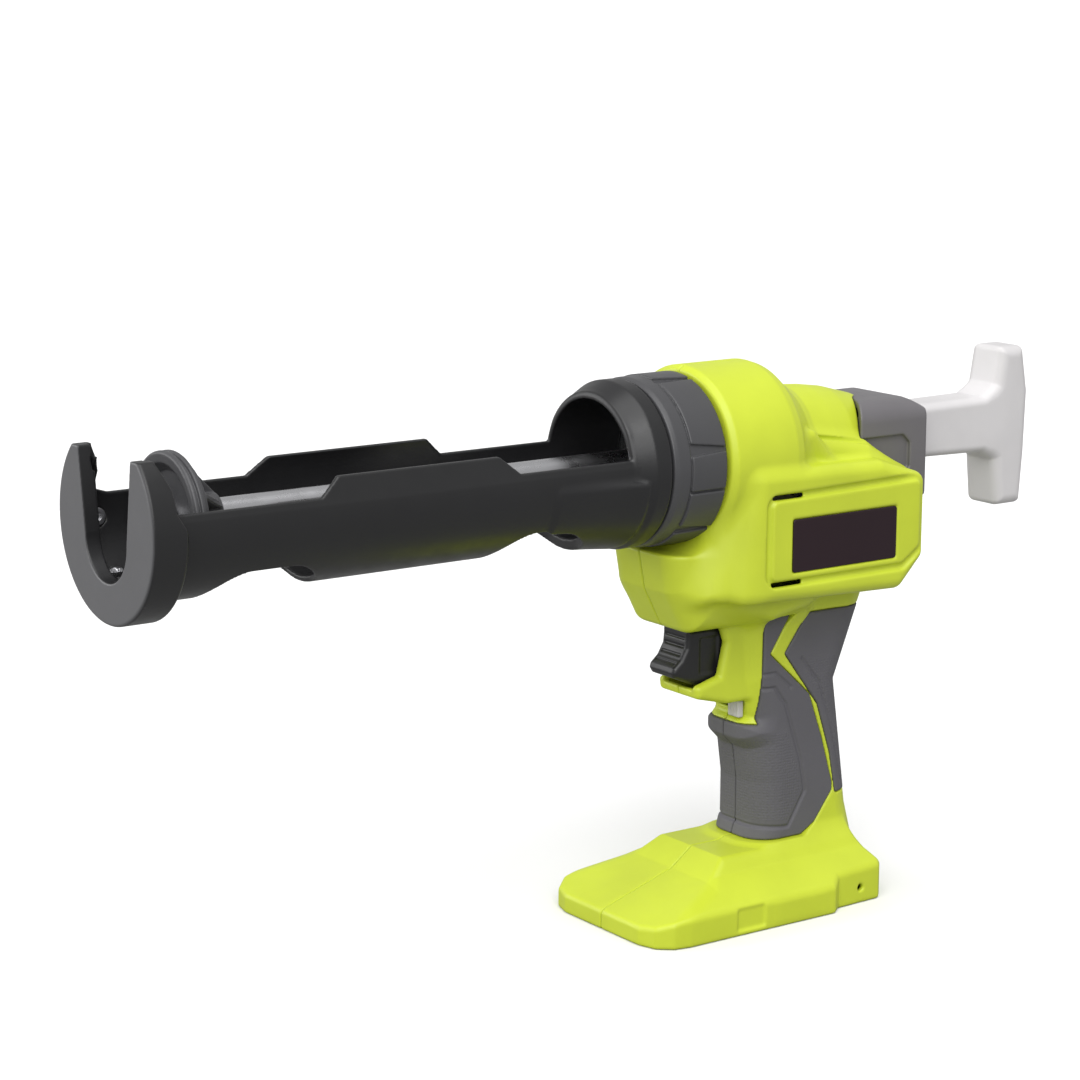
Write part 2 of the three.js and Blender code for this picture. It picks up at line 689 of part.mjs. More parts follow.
function labelPockets() {
  return [-1, 1].map((side) => {
    const shape = roundedRect(LABEL.x0 - GAP, LABEL.x1 + GAP, LABEL.z0 - GAP, LABEL.z1 + GAP, 2.3);
    const [y0, y1] = side < 0 ? [-40, -BOSS_HALF + 1.1] : [BOSS_HALF - 1.1, 40];
    return alongY(shape, y0, y1);
  });
}

function labelPlate(side) {
  const shape = roundedRect(LABEL.x0, LABEL.x1, LABEL.z0, LABEL.z1, 2);
  const [y0, y1] = side < 0 ? [-BOSS_HALF, -BOSS_HALF + 0.8] : [BOSS_HALF - 0.8, BOSS_HALF];
  return alongY(shape, y0, y1);
}

// Shallow rectangular recesses on the sides of the foot, over the battery catches.
function sidePads() {
  return [-1, 1].map((side) => {
    const [y0, y1] = side < 0 ? [-42, -FOOT_HALF + 0.9] : [FOOT_HALF - 0.9, 42];
    return alongY(roundedRect(250, 264, -183, -174, 1), y0, y1);
  });
}

const DIAL = { x: 304, z: 4.5, r: 9.5 };

function dialPocket() {
  return join(cylY(DIAL.r + 0.8, DIAL.x, DIAL.z, 20, 40, 28), cylY(2.4, DIAL.x, DIAL.z, 10, 22, 12));
}

function speedDial() {
  let knob = cylY(DIAL.r, DIAL.x, DIAL.z, 20.4, 28.5, 28).add(cylY(2, DIAL.x, DIAL.z, 12, 21, 12));
  for (let i = 0; i < 12; i += 1) {
    const angle = (i * Math.PI) / 6;
    const x = DIAL.x + (DIAL.r + 0.6) * Math.cos(angle);
    const z = DIAL.z + (DIAL.r + 0.6) * Math.sin(angle);
    knob = cut(knob, cylY(1.3, x, z, 22, 30, 8));
  }
  return cut(knob, box(DIAL.x - 0.7, DIAL.x + 0.7, 27.8, 30, DIAL.z, DIAL.z + DIAL.r + 1));
}

function zone(points, inset) {
  return alongY(shapeOf(points), -40, 40, inset ? { size: 0.01, thick: 0.01, inset, segments: 1 } : null);
}

function frontPadZone(inset) {
  return zone([
    [277.8, -64], [292, -64.5], [282, -80.3], [302, -99], [309, -118], [315, -138], [315, -141], [306, -153],
    [299, -157.2], [250, -157.2], [250, -109], [277.8, -109],
  ], inset);
}

function rearPadZone(inset) {
  return zone([
    [300, -65.5], [344, -66], [344, -142.5], [316.5, -142.5], [313, -125], [306, -104], [288.5, -81],
  ], inset);
}

const SKIN = 1.6;

// The rubber skins of the grip, or with no gap the pockets that they fill.
function gripSkins(gap) {
  const layer = cut(grip(0), grip(SKIN + (gap ? 0 : GAP)));
  const below = layer.intersect(box(200, 360, -60, 60, -190, -66.5 - gap));
  return {
    front: cut(below.intersect(frontPadZone(gap)), bezel(-gap)),
    rear: below.intersect(rearPadZone(gap)),
  };
}

function wholeHousing() {
  const outer = join(hump(0), shoulder(0), boss(0), noseBelow(0), grip(0), bezel(0), foot(0));
  const inner = join(hump(WALL), shoulder(WALL), boss(WALL), noseBelow(WALL), grip(WALL), foot(WALL));
  const pockets = gripSkins(0);
  const bare = cut(outer, inner);
  const boned = join(bare, ...screwBosses().map((post) => post.intersect(outer)));
  return {
    shell: cut(boned, pockets.front, pockets.rear, ...housingOpenings(), ...screwHoles()),
    skins: gripSkins(GAP),
  };
}

function half(body, side) {
  const keep = side < 0 ? box(180, 450, -60, -0.15, -200, 60) : box(180, 450, 0.15, 60, -200, 60);
  return largest(body.intersect(keep));
}

// ---- trigger, button, switch and electrics ----

function trigger() {
  const outline = shapeOf([
    [246.4, -68.1], [246.6, -71], [246.4, -75], [244, -79.5], [240.2, -82.6], [239.6, -84.4], [240.6, -86],
    [250, -90], [262, -91.2], [264.5, -89.6], [265, -87.6], [275, -87.6], [275, -68.1],
  ]);
  const body = alongY(outline, -8.5, 8.5, { size: 1.2, thick: 1.6, segments: 2 });
  const plunger = cylX(2.2, 274, 287.6, 16, 0, -77);
  return body.add(plunger);
}

const SPRING = { x0: 275.4, x1: 284.6, r: 3.6, wire: 0.5, turns: 4.5 };

class Coil extends THREE.Curve {
  getPoint(t, target = new THREE.Vector3()) {
    const angle = 2 * Math.PI * SPRING.turns * t;
    const length = SPRING.x1 - SPRING.x0 - 2 * SPRING.wire;
    return target.set(
      SPRING.x0 + SPRING.wire + length * t,
      SPRING.r * Math.cos(angle),
      -77 + SPRING.r * Math.sin(angle),
    );
  }
}

function triggerSpring() {
  const wire = new THREE.Shape();
  wire.absarc(0, 0, SPRING.wire, 0, 2 * Math.PI);
  const geometry = new THREE.ExtrudeGeometry(wire, {
    steps: 45, extrudePath: new Coil(), curveSegments: 3, bevelEnabled: false,
  });
  return solid(geometry);
}

function switchBody() {
  return cut(box(285, 312, -8.6, 8.6, -93, -67), cylX(2.6, 284, 298, 16, 0, -77));
}

function circuitBoard() {
  return box(284, 295.6, -8.8, -7.2, -117, -95);
}

function terminalBlock() {
  const body = box(286, 316, -12, 12, -134, -122.6);
  return cut(body, ...[-8, 0, 8].map((y) => box(294, 306, y - 0.8, y + 0.8, -140, -126)));
}

function contactBlade(y) {
  return box(294.4, 305.6, y - 0.45, y + 0.45, -148, -126.4);
}

// ---- assembly ----

add('carriage_trough', carriageTrough(), 'black');
add('front_retainer', frontRetainer(), 'black');
BAY_SCREWS.forEach((angle, i) => add(`retainer_screw_${i + 1}`, bayScrew(angle), 'steel'));
add('locking_collar', lockingCollar(), 'collar');
add('barrel_mount', barrelMount(), 'steel');
add('rod_bush_front', rodBush(CONE_POCKET_END + GAP, 258, 7.1), 'nylon');
add('rod_bush_rear', rodBush(341, COVER_END - 0.4, 7.1), 'nylon');
add('rack_rod', rackRod(), 'steel');
add('piston', piston(), 'collar');
add('piston_screw', pistonScrew(), 'steel');
add('pull_handle', pullHandle(), 'handle');
const housing = wholeHousing();
add('housing_left', half(housing.shell, -1), 'lime');
add('housing_right', half(housing.shell, 1), 'lime');
add('grip_front_left', half(housing.skins.front, -1), 'rubber');
add('grip_front_right', half(housing.skins.front, 1), 'rubber');
add('grip_rear_left', half(housing.skins.rear, -1), 'rubber');
add('grip_rear_right', half(housing.skins.rear, 1), 'rubber');
add('rear_cover', rearCover(), 'coverGrey');
add('label_plate_left', labelPlate(-1), 'plate');
add('label_plate_right', labelPlate(1), 'plate');
HOUSING_SCREWS.forEach((screw, i) => add(`housing_screw_${i + 1}`, housingScrew(screw), 'steel'));
add('speed_dial', speedDial(), 'collar');
add('trigger', trigger(), 'black');
add('trigger_spring', triggerSpring(), 'steel');
add('switch_body', switchBody(), 'black');
add('lock_slide', lockSlide(), 'buttonGrey');
add('drive_gear', driveGear(), 'steel');
add('idler_gear', idlerGear(), 'steel');
add('motor_shaft', motorShaft(), 'steel');
add('motor_can', motorCan(), 'motor');
add('gear_frame', gearFrame(), 'nylon');
add('circuit_board', circuitBoard(), 'board');
add('terminal_block', terminalBlock(), 'black');
[-8, 0, 8].forEach((y, i) => add(`battery_contact_${i + 1}`, contactBlade(y), 'brass'));

export default group;
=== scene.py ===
import json
import math
import bpy
import numpy as np
import openvdb
from mathutils import Euler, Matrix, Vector


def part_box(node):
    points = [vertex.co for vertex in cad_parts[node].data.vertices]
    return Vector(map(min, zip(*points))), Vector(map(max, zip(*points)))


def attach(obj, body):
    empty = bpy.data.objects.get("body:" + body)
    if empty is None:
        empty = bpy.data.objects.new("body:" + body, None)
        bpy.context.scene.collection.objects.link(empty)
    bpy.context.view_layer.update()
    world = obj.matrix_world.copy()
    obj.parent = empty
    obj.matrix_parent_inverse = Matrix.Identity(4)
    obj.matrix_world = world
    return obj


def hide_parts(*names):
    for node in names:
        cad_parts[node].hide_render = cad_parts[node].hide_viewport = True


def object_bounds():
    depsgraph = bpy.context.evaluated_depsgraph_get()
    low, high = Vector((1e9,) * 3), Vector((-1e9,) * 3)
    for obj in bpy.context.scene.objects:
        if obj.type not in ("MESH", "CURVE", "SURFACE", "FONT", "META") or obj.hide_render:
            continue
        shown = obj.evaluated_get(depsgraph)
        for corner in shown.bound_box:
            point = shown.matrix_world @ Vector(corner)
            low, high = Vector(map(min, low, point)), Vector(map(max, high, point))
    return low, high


# Looks of the cordless caulking gun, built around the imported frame.
#
# Every refined piece is a signed distance field on a grid, in millimetres, turned into a mesh.
# The fields use the gun's own axes: X runs along the push rod from the front retainer's face,
# Y is the width with the near side negative, and z = 0 is the push rod's centre line.

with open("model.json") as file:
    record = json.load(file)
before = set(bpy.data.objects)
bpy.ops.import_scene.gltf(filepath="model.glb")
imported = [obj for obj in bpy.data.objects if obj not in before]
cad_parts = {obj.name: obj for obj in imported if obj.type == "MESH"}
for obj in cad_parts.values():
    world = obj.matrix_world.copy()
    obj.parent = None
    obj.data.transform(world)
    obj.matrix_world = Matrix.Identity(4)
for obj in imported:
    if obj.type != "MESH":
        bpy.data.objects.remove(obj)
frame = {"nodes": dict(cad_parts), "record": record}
cad_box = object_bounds()

MM = 0.001
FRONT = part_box("front_retainer")[0].x
ROD_AXIS = (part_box("piston")[0].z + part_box("piston")[1].z) / 2
ORIGIN = np.array([FRONT, 0.0, ROD_AXIS])


def row(x, y, z):
    """A gun point in millimetres as a row-frame point in metres."""
    return Vector(ORIGIN + np.array([x, y, z]) * MM)


def gun_box(node):
    """A node's lowest and highest corner in gun millimetres."""
    return [(np.array(corner) - ORIGIN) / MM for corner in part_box(node)]


# ---- camera ----

CAMERA_PLACE = (-458.46, -901.97, 199.12)
CAMERA_HEADING = -35.36
CAMERA_DOWN = 11.49
CAMERA_ROLL = 0.245
CAMERA_LENS = 100.0
CAMERA_FILM = 36.0


def make_camera():
    data = bpy.data.cameras.new("view")
    data.lens = CAMERA_LENS
    data.sensor_width = CAMERA_FILM
    data.clip_start = 0.05
    data.clip_end = 50.0
    camera = bpy.data.objects.new("view", data)
    bpy.context.scene.collection.objects.link(camera)
    turn = Euler((0, 0, math.radians(CAMERA_HEADING))).to_matrix()
    tilt = Euler((math.radians(90 - CAMERA_DOWN), 0, 0)).to_matrix()
    roll = Euler((0, 0, math.radians(CAMERA_ROLL))).to_matrix()
    camera.matrix_world = (turn @ tilt @ roll).to_4x4()
    camera.location = row(*CAMERA_PLACE)
    bpy.context.scene.camera = camera


make_camera()


# ---- distance fields ----

class Space:
    """A grid of sample points between two corners."""

    def __init__(self, low, high, step):
        self.step = step
        self.low = np.array(low, float) - 3 * step
        counts = np.ceil((np.array(high, float) - self.low) / step).astype(int) + 4
        self.axes = [
            (self.low[i] + step * np.arange(counts[i])).astype(np.float32) for i in range(3)
        ]
        self.shape = tuple(counts)
        self.spread()

    def spread(self):
        self.x = self.axes[0][:, None, None]
        self.y = self.axes[1][None, :, None]
        self.z = self.axes[2][None, None, :]

    def part(self, low, high, margin=4.0):
        """The part of the grid around a box, and where it lies in the whole."""
        cells = []
        sub = Space.__new__(Space)
        sub.step = self.step
        sub.axes = []
        for axis, lo, hi in zip(self.axes, low, high):
            start = int(np.searchsorted(axis, lo - margin))
            stop = max(int(np.searchsorted(axis, hi + margin)), start + 1)
            cells.append(slice(start, stop))
            sub.axes.append(axis[start:stop])
        sub.shape = tuple(len(axis) for axis in sub.axes)
        sub.spread()
        return sub, tuple(cells)


def meet(a, b, r=0.0):
    """Where both shapes are, with the edge between them rounded to radius r."""
    if r == 0:
        return np.maximum(a, b)
    u = np.maximum(a + r, 0)
    v = np.maximum(b + r, 0)
    return np.minimum(np.maximum(a, b), -r) + np.sqrt(u * u + v * v)


def merge(a, b, r=0.0):
    """Either shape, with a fillet of radius r between them."""
    return -meet(-a, -b, r)


def carve(a, b, r=0.0):
    """The first shape without the second."""
    return meet(a, -b, r)


def shrunk(points, r):
    """An outline moved inwards by r, corner by corner."""
    p = np.array(points, float)
    before = p - np.roll(p, 1, axis=0)
    after = np.roll(p, -1, axis=0) - p
    before /= np.linalg.norm(before, axis=1)[:, None]
    after /= np.linalg.norm(after, axis=1)[:, None]
    area = np.sum(p[:, 0] * np.roll(p[:, 1], -1) - p[:, 1] * np.roll(p[:, 0], -1))
    side = 1.0 if area > 0 else -1.0
    normal = side * np.stack([-(before[:, 1] + after[:, 1]), before[:, 0] + after[:, 0]], 1)
    scale = 1 + np.sum(before * after, axis=1)
    return p + normal * (r / scale)[:, None]


def outline(points, u, v, r=0.0):
    """Signed distance to a closed outline in the plane (u, v), with outer corners rounded to r."""
    p = shrunk(points, r) if r else np.array(points, float)
    nearest = np.float32(np.inf)
    inside = np.bool_(False)
    for a, b in zip(p, np.roll(p, 1, axis=0)):
        e = (b - a).astype(np.float32)
        wu = u - np.float32(a[0])
        wv = v - np.float32(a[1])
        t = np.clip((wu * e[0] + wv * e[1]) / (e @ e), 0, 1)
        nearest = np.minimum(nearest, (wu - t * e[0]) ** 2 + (wv - t * e[1]) ** 2)
        crosses = (v >= a[1]) != (v >= b[1])
        if e[1] != 0:
            inside = inside ^ (crosses & (u < a[0] + wv * (e[0] / e[1])))
    return np.where(inside, -1, 1) * np.sqrt(nearest) - np.float32(r)


def path(points, u, v):
    """Distance to an open line of straight pieces in the plane (u, v)."""
    nearest = np.float32(np.inf)
    for a, b in zip(np.array(points[:-1], float), np.array(points[1:], float)):
        e = (b - a).astype(np.float32)
        wu = u - np.float32(a[0])
        wv = v - np.float32(a[1])
        t = np.clip((wu * e[0] + wv * e[1]) / (e @ e), 0, 1)
        nearest = np.minimum(nearest, (wu - t * e[0]) ** 2 + (wv - t * e[1]) ** 2)
    return np.sqrt(nearest)


def between(v, low, high):
    """A slab."""
    return np.abs(v - (low + high) / 2) - (high - low) / 2


def block(s, low, high, r=0.0):
    q = [np.abs(v - (a + b) / 2) - (b - a) / 2 + r for v, a, b in zip((s.x, s.y, s.z), low, high)]
    outside = np.sqrt(sum(np.maximum(v, 0) ** 2 for v in q))
    inside = np.minimum(np.maximum(np.maximum(q[0], q[1]), q[2]), 0)
    return outside + inside - r


AXIS_DEPTH = -20.0


def turned(points, s, r=0.0, y=0.0, z=0.0):
    """A round shape about a line along X: the points are (x, radius)."""
    radius = np.hypot(s.y - y, s.z - z)
    cell = s.step / 2
    table_radius = (np.arange(int(radius.max() / cell) + 3) * cell).astype(np.float32)
    deep = [(px, AXIS_DEPTH if pr == 0 else pr) for px, pr in points]
    table = outline(deep, s.x[:, :, 0], table_radius[None, :], r).astype(np.float32)
    place = radius[0] / cell
    index = place.astype(int)
    share = (place - index).astype(np.float32)
    return table[:, index] * (1 - share) + table[:, index + 1] * share


def round_y(s, x, z, radius):
    """An endless cylinder along Y."""
    return np.hypot(s.x - x, s.z - z) - radius


def dent(field, s, low, high, shape, r=0.0):
    """Carves a small shape out of a field, working only around its box."""
    sub, cells = s.part(low, high)
    field[cells] = carve(field[cells], shape(sub), r)


def swell(field, s, low, high, shape, r=0.0):
    """Adds a small shape to a field, working only around its box."""
    sub, cells = s.part(low, high)
    field[cells] = merge(field[cells], shape(sub), r)


# ---- meshes from fields ----

def relax(points, quads, rounds):
    """Evens out the sampling steps without shrinking the shape."""
    ends = np.concatenate([quads[:, [0, 1]], quads[:, [1, 2]], quads[:, [2, 3]], quads[:, [3, 0]]])
    a = np.concatenate([ends[:, 0], ends[:, 1]])
    b = np.concatenate([ends[:, 1], ends[:, 0]])
    degree = np.bincount(a, minlength=len(points))[:, None]
    for _ in range(rounds):
        for pull in (0.5, -0.52):
            mean = np.stack(
                [np.bincount(a, weights=points[b, k], minlength=len(points)) for k in range(3)], 1
            ) / degree
            points = points + pull * (mean - points)
    return points


def surface(field, s, rounds=2):
    """The field's surface as points in metres and four-sided faces that look outwards."""
    level = np.ascontiguousarray(np.clip(np.broadcast_to(field, s.shape) / s.step, -3, 3), np.float32)
    grid = openvdb.FloatGrid()
    grid.background = 3.0
    grid.copyFromArray(level)
    points, quads = grid.convertToQuads(0.0)
    points = relax(points.astype(float), quads.astype(int), rounds)
    place = ORIGIN + (s.low + points * s.step) * MM
    a, b, c = ((place - ORIGIN)[quads[:, k]] for k in range(3))
    if np.sum(a * np.cross(b, c)) < 0:
        quads = quads[:, ::-1]
    return place, quads


def new_mesh(name, points, faces):
    """A smooth-shaded mesh object."""
    mesh = bpy.data.meshes.new(name)
    count = faces.shape[1]
    mesh.vertices.add(len(points))
    mesh.vertices.foreach_set("co", points.astype(np.float32).ravel())
    mesh.loops.add(faces.size)
    mesh.loops.foreach_set("vertex_index", faces.astype(np.int32).ravel())
    mesh.polygons.add(len(faces))
    mesh.polygons.foreach_set("loop_start", np.arange(len(faces), dtype=np.int32) * count)
    mesh.update(calc_edges=True)
    mesh.shade_smooth()
    piece = bpy.data.objects.new(name, mesh)
    bpy.context.scene.collection.objects.link(piece)
    return piece


def dress(piece, body, slot_name, material, *nodes):
    """Puts a piece on its body, in the place of its CAD nodes, with its finish."""
    piece.data.materials.clear()
    piece.data.materials.append(material)
    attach(piece, body)
    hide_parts(*nodes)
    return piece


def sculpt(name, field, s, rounds=2):
    return new_mesh(name, *surface(field, s, rounds))


def mirrored(name, field, s, rounds=2):
    """The mirror image across the gun's middle plane."""
    points, quads = surface(field, s, rounds)
    points[:, 1] *= -1
    return new_mesh(name, points, quads[:, ::-1])


# ---- materials ----

def mix_colour(nodes, links, factor, a, b):
    mix = nodes.new("ShaderNodeMix")
    mix.data_type = "RGBA"
    links.new(factor, mix.inputs["Factor"])
    for socket, value in ((mix.inputs["A"], a), (mix.inputs["B"], b)):
        if isinstance(value, tuple):
            socket.default_value = (*value, 1)
        else:
            links.new(value, socket)
    return mix.outputs["Result"]


def noise(nodes, links, where, size, detail=3.0, rough=0.5):
    """Noise with features of a size in millimetres."""
    node = nodes.new("ShaderNodeTexNoise")
    node.inputs["Scale"].default_value = 1000.0 / size
    node.inputs["Detail"].default_value = detail
    node.inputs["Roughness"].default_value = rough
    links.new(where, node.inputs["Vector"])
    return node.outputs["Fac"]


def ranged(nodes, links, value, low, high, to_low, to_high):
    node = nodes.new("ShaderNodeMapRange")
    node.inputs["From Min"].default_value = low
    node.inputs["From Max"].default_value = high
    node.inputs["To Min"].default_value = to_low
    node.inputs["To Max"].default_value = to_high
    links.new(value, node.inputs["Value"])
    return node.outputs["Result"]


def bump(nodes, links, height, depth, normal=None):
    """Bump with a depth in millimetres."""
    node = nodes.new("ShaderNodeBump")
    node.inputs["Strength"].default_value = 1.0
    node.inputs["Distance"].default_value = depth * MM
    links.new(height, node.inputs["Height"])
    if normal is not None:
        links.new(normal, node.inputs["Normal"])
    return node.outputs["Normal"]


TONE_SHIFT = 0.06
GLOSS_SPREAD = 0.05


def finish_material(name, colour, rough, *, worn=None, grain=0.45, depth=0.02, metallic=0.0, specular=0.5,
                    edge=0.35, brushed=None):
    """A moulded or machined finish: tone drift, edge wear, surface grain and uneven gloss."""
    material = bpy.data.materials.new(name)
    material.use_nodes = True
    nodes = material.node_tree.nodes
    links = material.node_tree.links
    shader = nodes["Principled BSDF"]
    shader.inputs["Metallic"].default_value = metallic
    shader.inputs["Specular IOR Level"].default_value = specular
    where = nodes.new("ShaderNodeTexCoord").outputs["Object"]
    darker = tuple(c * (1 - TONE_SHIFT) for c in colour)
    lighter = tuple(min(1.0, c * (1 + TONE_SHIFT)) for c in colour)
    drift = ranged(nodes, links, noise(nodes, links, where, 34.0, 4.0), 0.3, 0.7, 0, 1)
    tone = mix_colour(nodes, links, drift, darker, lighter)
    geometry = nodes.new("ShaderNodeNewGeometry")
    proud = ranged(nodes, links, geometry.outputs["Pointiness"], 0.52, 0.60, 0, edge)
    patchy = nodes.new("ShaderNodeMath")
    patchy.operation = "MULTIPLY"
    links.new(proud, patchy.inputs[0])
    speckle = ranged(nodes, links, noise(nodes, links, where, 3.0, 5.0), 0.35, 0.65, 0.3, 1)
    links.new(speckle, patchy.inputs[1])
    rubbed = worn or tuple(min(1.0, c * 1.25 + 0.02) for c in colour)
    links.new(mix_colour(nodes, links, patchy.outputs[0], tone, rubbed), shader.inputs["Base Color"])
    cloudy = noise(nodes, links, where, 9.0, 5.0, 0.6)
    gloss = ranged(nodes, links, cloudy, 0.3, 0.7, rough - GLOSS_SPREAD, rough + GLOSS_SPREAD)
    links.new(gloss, shader.inputs["Roughness"])
    if brushed:
        stretched = nodes.new("ShaderNodeMapping")
        stretched.inputs["Scale"].default_value = brushed
        links.new(where, stretched.inputs["Vector"])
        where = stretched.outputs["Vector"]
    normal = bump(nodes, links, noise(nodes, links, where, grain, 2.0, 0.6), depth)
    links.new(normal, shader.inputs["Normal"])
    return material


PEBBLE_SIZE = 1.15
PEBBLE_DEPTH = 0.16


def textured_rubber(name, colour, mask):
    """Soft rubber with a fine pebble pattern where the mask attribute is set."""
    material = finish_material(name, colour, 0.62, grain=0.5, depth=0.03, specular=0.35, edge=0.3)
    nodes = material.node_tree.nodes
    links = material.node_tree.links
    shader = nodes["Principled BSDF"]
    where = nodes.new("ShaderNodeTexCoord").outputs["Object"]
    cells = nodes.new("ShaderNodeTexVoronoi")
    cells.feature = "SMOOTH_F1"
    cells.inputs["Scale"].default_value = 1000.0 / PEBBLE_SIZE
    cells.inputs["Randomness"].default_value = 0.35
    links.new(where, cells.inputs["Vector"])
    dots = ranged(nodes, links, cells.outputs["Distance"], 0.15, 0.65, 1, 0)
    area = nodes.new("ShaderNodeAttribute")
    area.attribute_name = mask
    height = nodes.new("ShaderNodeMath")
    height.operation = "MULTIPLY"
    links.new(dots, height.inputs[0])
    links.new(area.outputs["Fac"], height.inputs[1])
    old = shader.inputs["Normal"].links[0].from_socket
    links.new(bump(nodes, links, height.outputs[0], PEBBLE_DEPTH, old), shader.inputs["Normal"])
    return material


def painted_front_reflection(name, facts, colour):
    """A finish whose forward-facing surfaces are painted paler: a painted reflection of the lamps in
    front.
    """
    material = finish_material(name, **facts)
    nodes = material.node_tree.nodes
    links = material.node_tree.links
    shader = nodes["Principled BSDF"]
    where = nodes.new("ShaderNodeTexCoord")
    split = nodes.new("ShaderNodeSeparateXYZ")
    links.new(where.outputs["Normal"], split.inputs[0])
    # Faces turned forward, towards -X, are painted paler as a painted reflection of the lamps.
    front = ranged(nodes, links, split.outputs["X"], -0.95, -0.55, 1, 0)
    old = shader.inputs["Base Color"].links[0].from_socket
    patches = noise(nodes, links, where.outputs["Object"], 12.0, 4.0)
    darker = tuple(c * 0.9 for c in colour)
    pale = mix_colour(nodes, links, patches, darker, colour)
    links.new(mix_colour(nodes, links, front, old, pale), shader.inputs["Base Color"])
    return material


LIME = (0.56, 0.655, 0.035)
FINISHES = {
    "lime_shell": dict(
        colour=LIME, rough=0.42, worn=(0.70, 0.80, 0.12), grain=0.4, depth=0.012, edge=0.25,
    ),
    "grip_rubber": dict(
        colour=(0.115, 0.112, 0.124), rough=0.62, grain=0.5, depth=0.03, specular=0.35,
    ),
    "cover_grey": dict(colour=(0.145, 0.138, 0.146), rough=0.45, grain=0.4, depth=0.015),
    "black_moulding": dict(
        colour=(0.013, 0.013, 0.014), rough=0.36, grain=0.5, depth=0.012, worn=(0.08, 0.08, 0.08),
    ),
    "collar_grey": dict(
        colour=(0.060, 0.060, 0.064), rough=0.38, grain=0.4, depth=0.015, worn=(0.12, 0.12, 0.12),
    ),
    "handle_grey": dict(colour=(0.62, 0.605, 0.61), rough=0.42, grain=0.5, depth=0.015),
    "bright_steel": dict(
        colour=(0.62, 0.62, 0.64), rough=0.28, grain=0.5, depth=0.006, metallic=1.0, brushed=(0.08, 1, 1),
    ),
    "label_dark": dict(
        colour=(0.020, 0.009, 0.013), rough=0.45, specular=0.3, grain=0.6, depth=0.004,
    ),
    "button_grey": dict(colour=(0.52, 0.51, 0.50), rough=0.45, grain=0.4, depth=0.012),
    "nylon": dict(colour=(0.62, 0.60, 0.52), rough=0.45, grain=0.5, depth=0.01),
    "motor_steel": dict(
        colour=(0.45, 0.45, 0.46), rough=0.35, grain=0.5, depth=0.008, metallic=1.0,
    ),
    "board_green": dict(colour=(0.02, 0.16, 0.06), rough=0.4, grain=0.6, depth=0.008),
    "contact_brass": dict(
        colour=(0.70, 0.50, 0.20), rough=0.3, grain=0.5, depth=0.006, metallic=1.0,
    ),
}
MATERIALS = {name: finish_material(name, **facts) for name, facts in FINISHES.items()}
# The paler grey of the painted reflection on the retainer's forward-facing faces.
FRONT_REFLECTION_GREY = (0.11, 0.11, 0.115)
MATERIALS["grip_rubber"] = textured_rubber(
    "grip_rubber_pebbled", FINISHES["grip_rubber"]["colour"], "pebbled",
)
# The retainer's black plastic, with a painted reflection on its forward-facing faces.
MATERIALS["retainer_grey"] = painted_front_reflection("retainer_grey", FINISHES["black_moulding"], FRONT_REFLECTION_GREY)


def repaint_cad_nodes():
    """Gives every CAD node its slot's finish."""
    slots = {m["slot"]: m for m in frame["record"]["materials"]}
    for slot_name, facts in slots.items():
        for node in facts.get("nodes", []):
            thing = frame["nodes"][node]
            thing.data.materials.clear()
            thing.data.materials.append(MATERIALS[slot_name])


repaint_cad_nodes()


# ---- driving sizes of the gun, in millimetres ----

TUBE_R = 28.5
TUBE_IN = 26.0
HUB_FRONT = 204.0
HUB_STEP = 219.3
HUB_REAR = 238.0
HUB_R = 32.5
SLEEVE_R = 29.2
COLLAR_X0 = 220.5
COLLAR_X1 = 246.0
COLLAR_R = 33.3
BODY_X0 = 246.5
BODY_R = 35.5
BOSS_HALF = 38.0
GRIP_HALF = 17.0
FOOT_HALF = 38.0
FLOOR = gun_box("housing_left")[0][2]
TUNNEL_END = 333.0
COVER_END = gun_box("rear_cover")[1][0]
ROD_R = 5.0
ROD_X0 = gun_box("rack_rod")[0][0]
ROD_X1 = gun_box("rack_rod")[1][0]
RACK_PITCH = math.pi * 1.25
ROD_BORE_R = 7.4
CRADLE_R = 28.8
CUP_FLOOR = 6
CUP_LIP_R = 24
HOUSING_SCREWS = 6
SEAM = 0.15
SKIN = 1.6
WALL = 2.6


# ---- front retainer ----

def retainer_field(s):
    radius = np.hypot(s.y, s.z)
    side = np.abs(s.y)
    disc = turned([(0, 0), (0, 34.2), (0.8, 35), (12.8, 35), (14, 33.8), (14, 0)], s, 0.3)
    disc = meet(disc, s.z - 25, 0.5)
    cup = meet(radius - CRADLE_R, np.where(radius > CUP_LIP_R, CUP_FLOOR - 1, CUP_FLOOR) - s.x)
    body = carve(disc, np.broadcast_to(cup, s.shape), 0.3)
    slot = merge(
        outline([(-15, -5), (-19, 25), (-20.6, 37), (20.6, 37), (19, 25), (15, -5)], s.y, s.z),
        np.hypot(s.y, s.z + 5) - 15,
    )
    body = carve(body, meet(slot, s.x - 8), 0.6)
    gap_above = meet(meet(side - 21, 18 - s.z), 4.9 - s.x)
    body = carve(body, gap_above, 0.5)
    back = outline([(6.2, 30), (6.5, 24), (9.4, 16), (9.8, 8), (14.5, 0), (20, 0), (20, 30)], s.x, s.z)
    return carve(body, np.broadcast_to(back, s.shape), 0.4)


BAY_SCREW_ANGLES = (-5, 185, 235, 305)
BAY_SCREW_X = 10.0
WELL_R = 3.7
WELL_BOTTOM = 27.3
SCREW_HOLE_R = 1.9
SCREW_HOLE_END = 32.4


def screw_well(s, angle):
    """The pocket and hole of a screw that points outwards from the tube's axis."""
    a = math.radians(angle)
    along = s.y * math.cos(a) + s.z * math.sin(a)
    across = np.hypot(s.x - BAY_SCREW_X, -s.y * math.sin(a) + s.z * math.cos(a))
    pocket = meet(across - WELL_R, between(along, 22, WELL_BOTTOM))
    hole = meet(across - SCREW_HOLE_R, between(along, 25, SCREW_HOLE_END))
    return merge(pocket, hole)


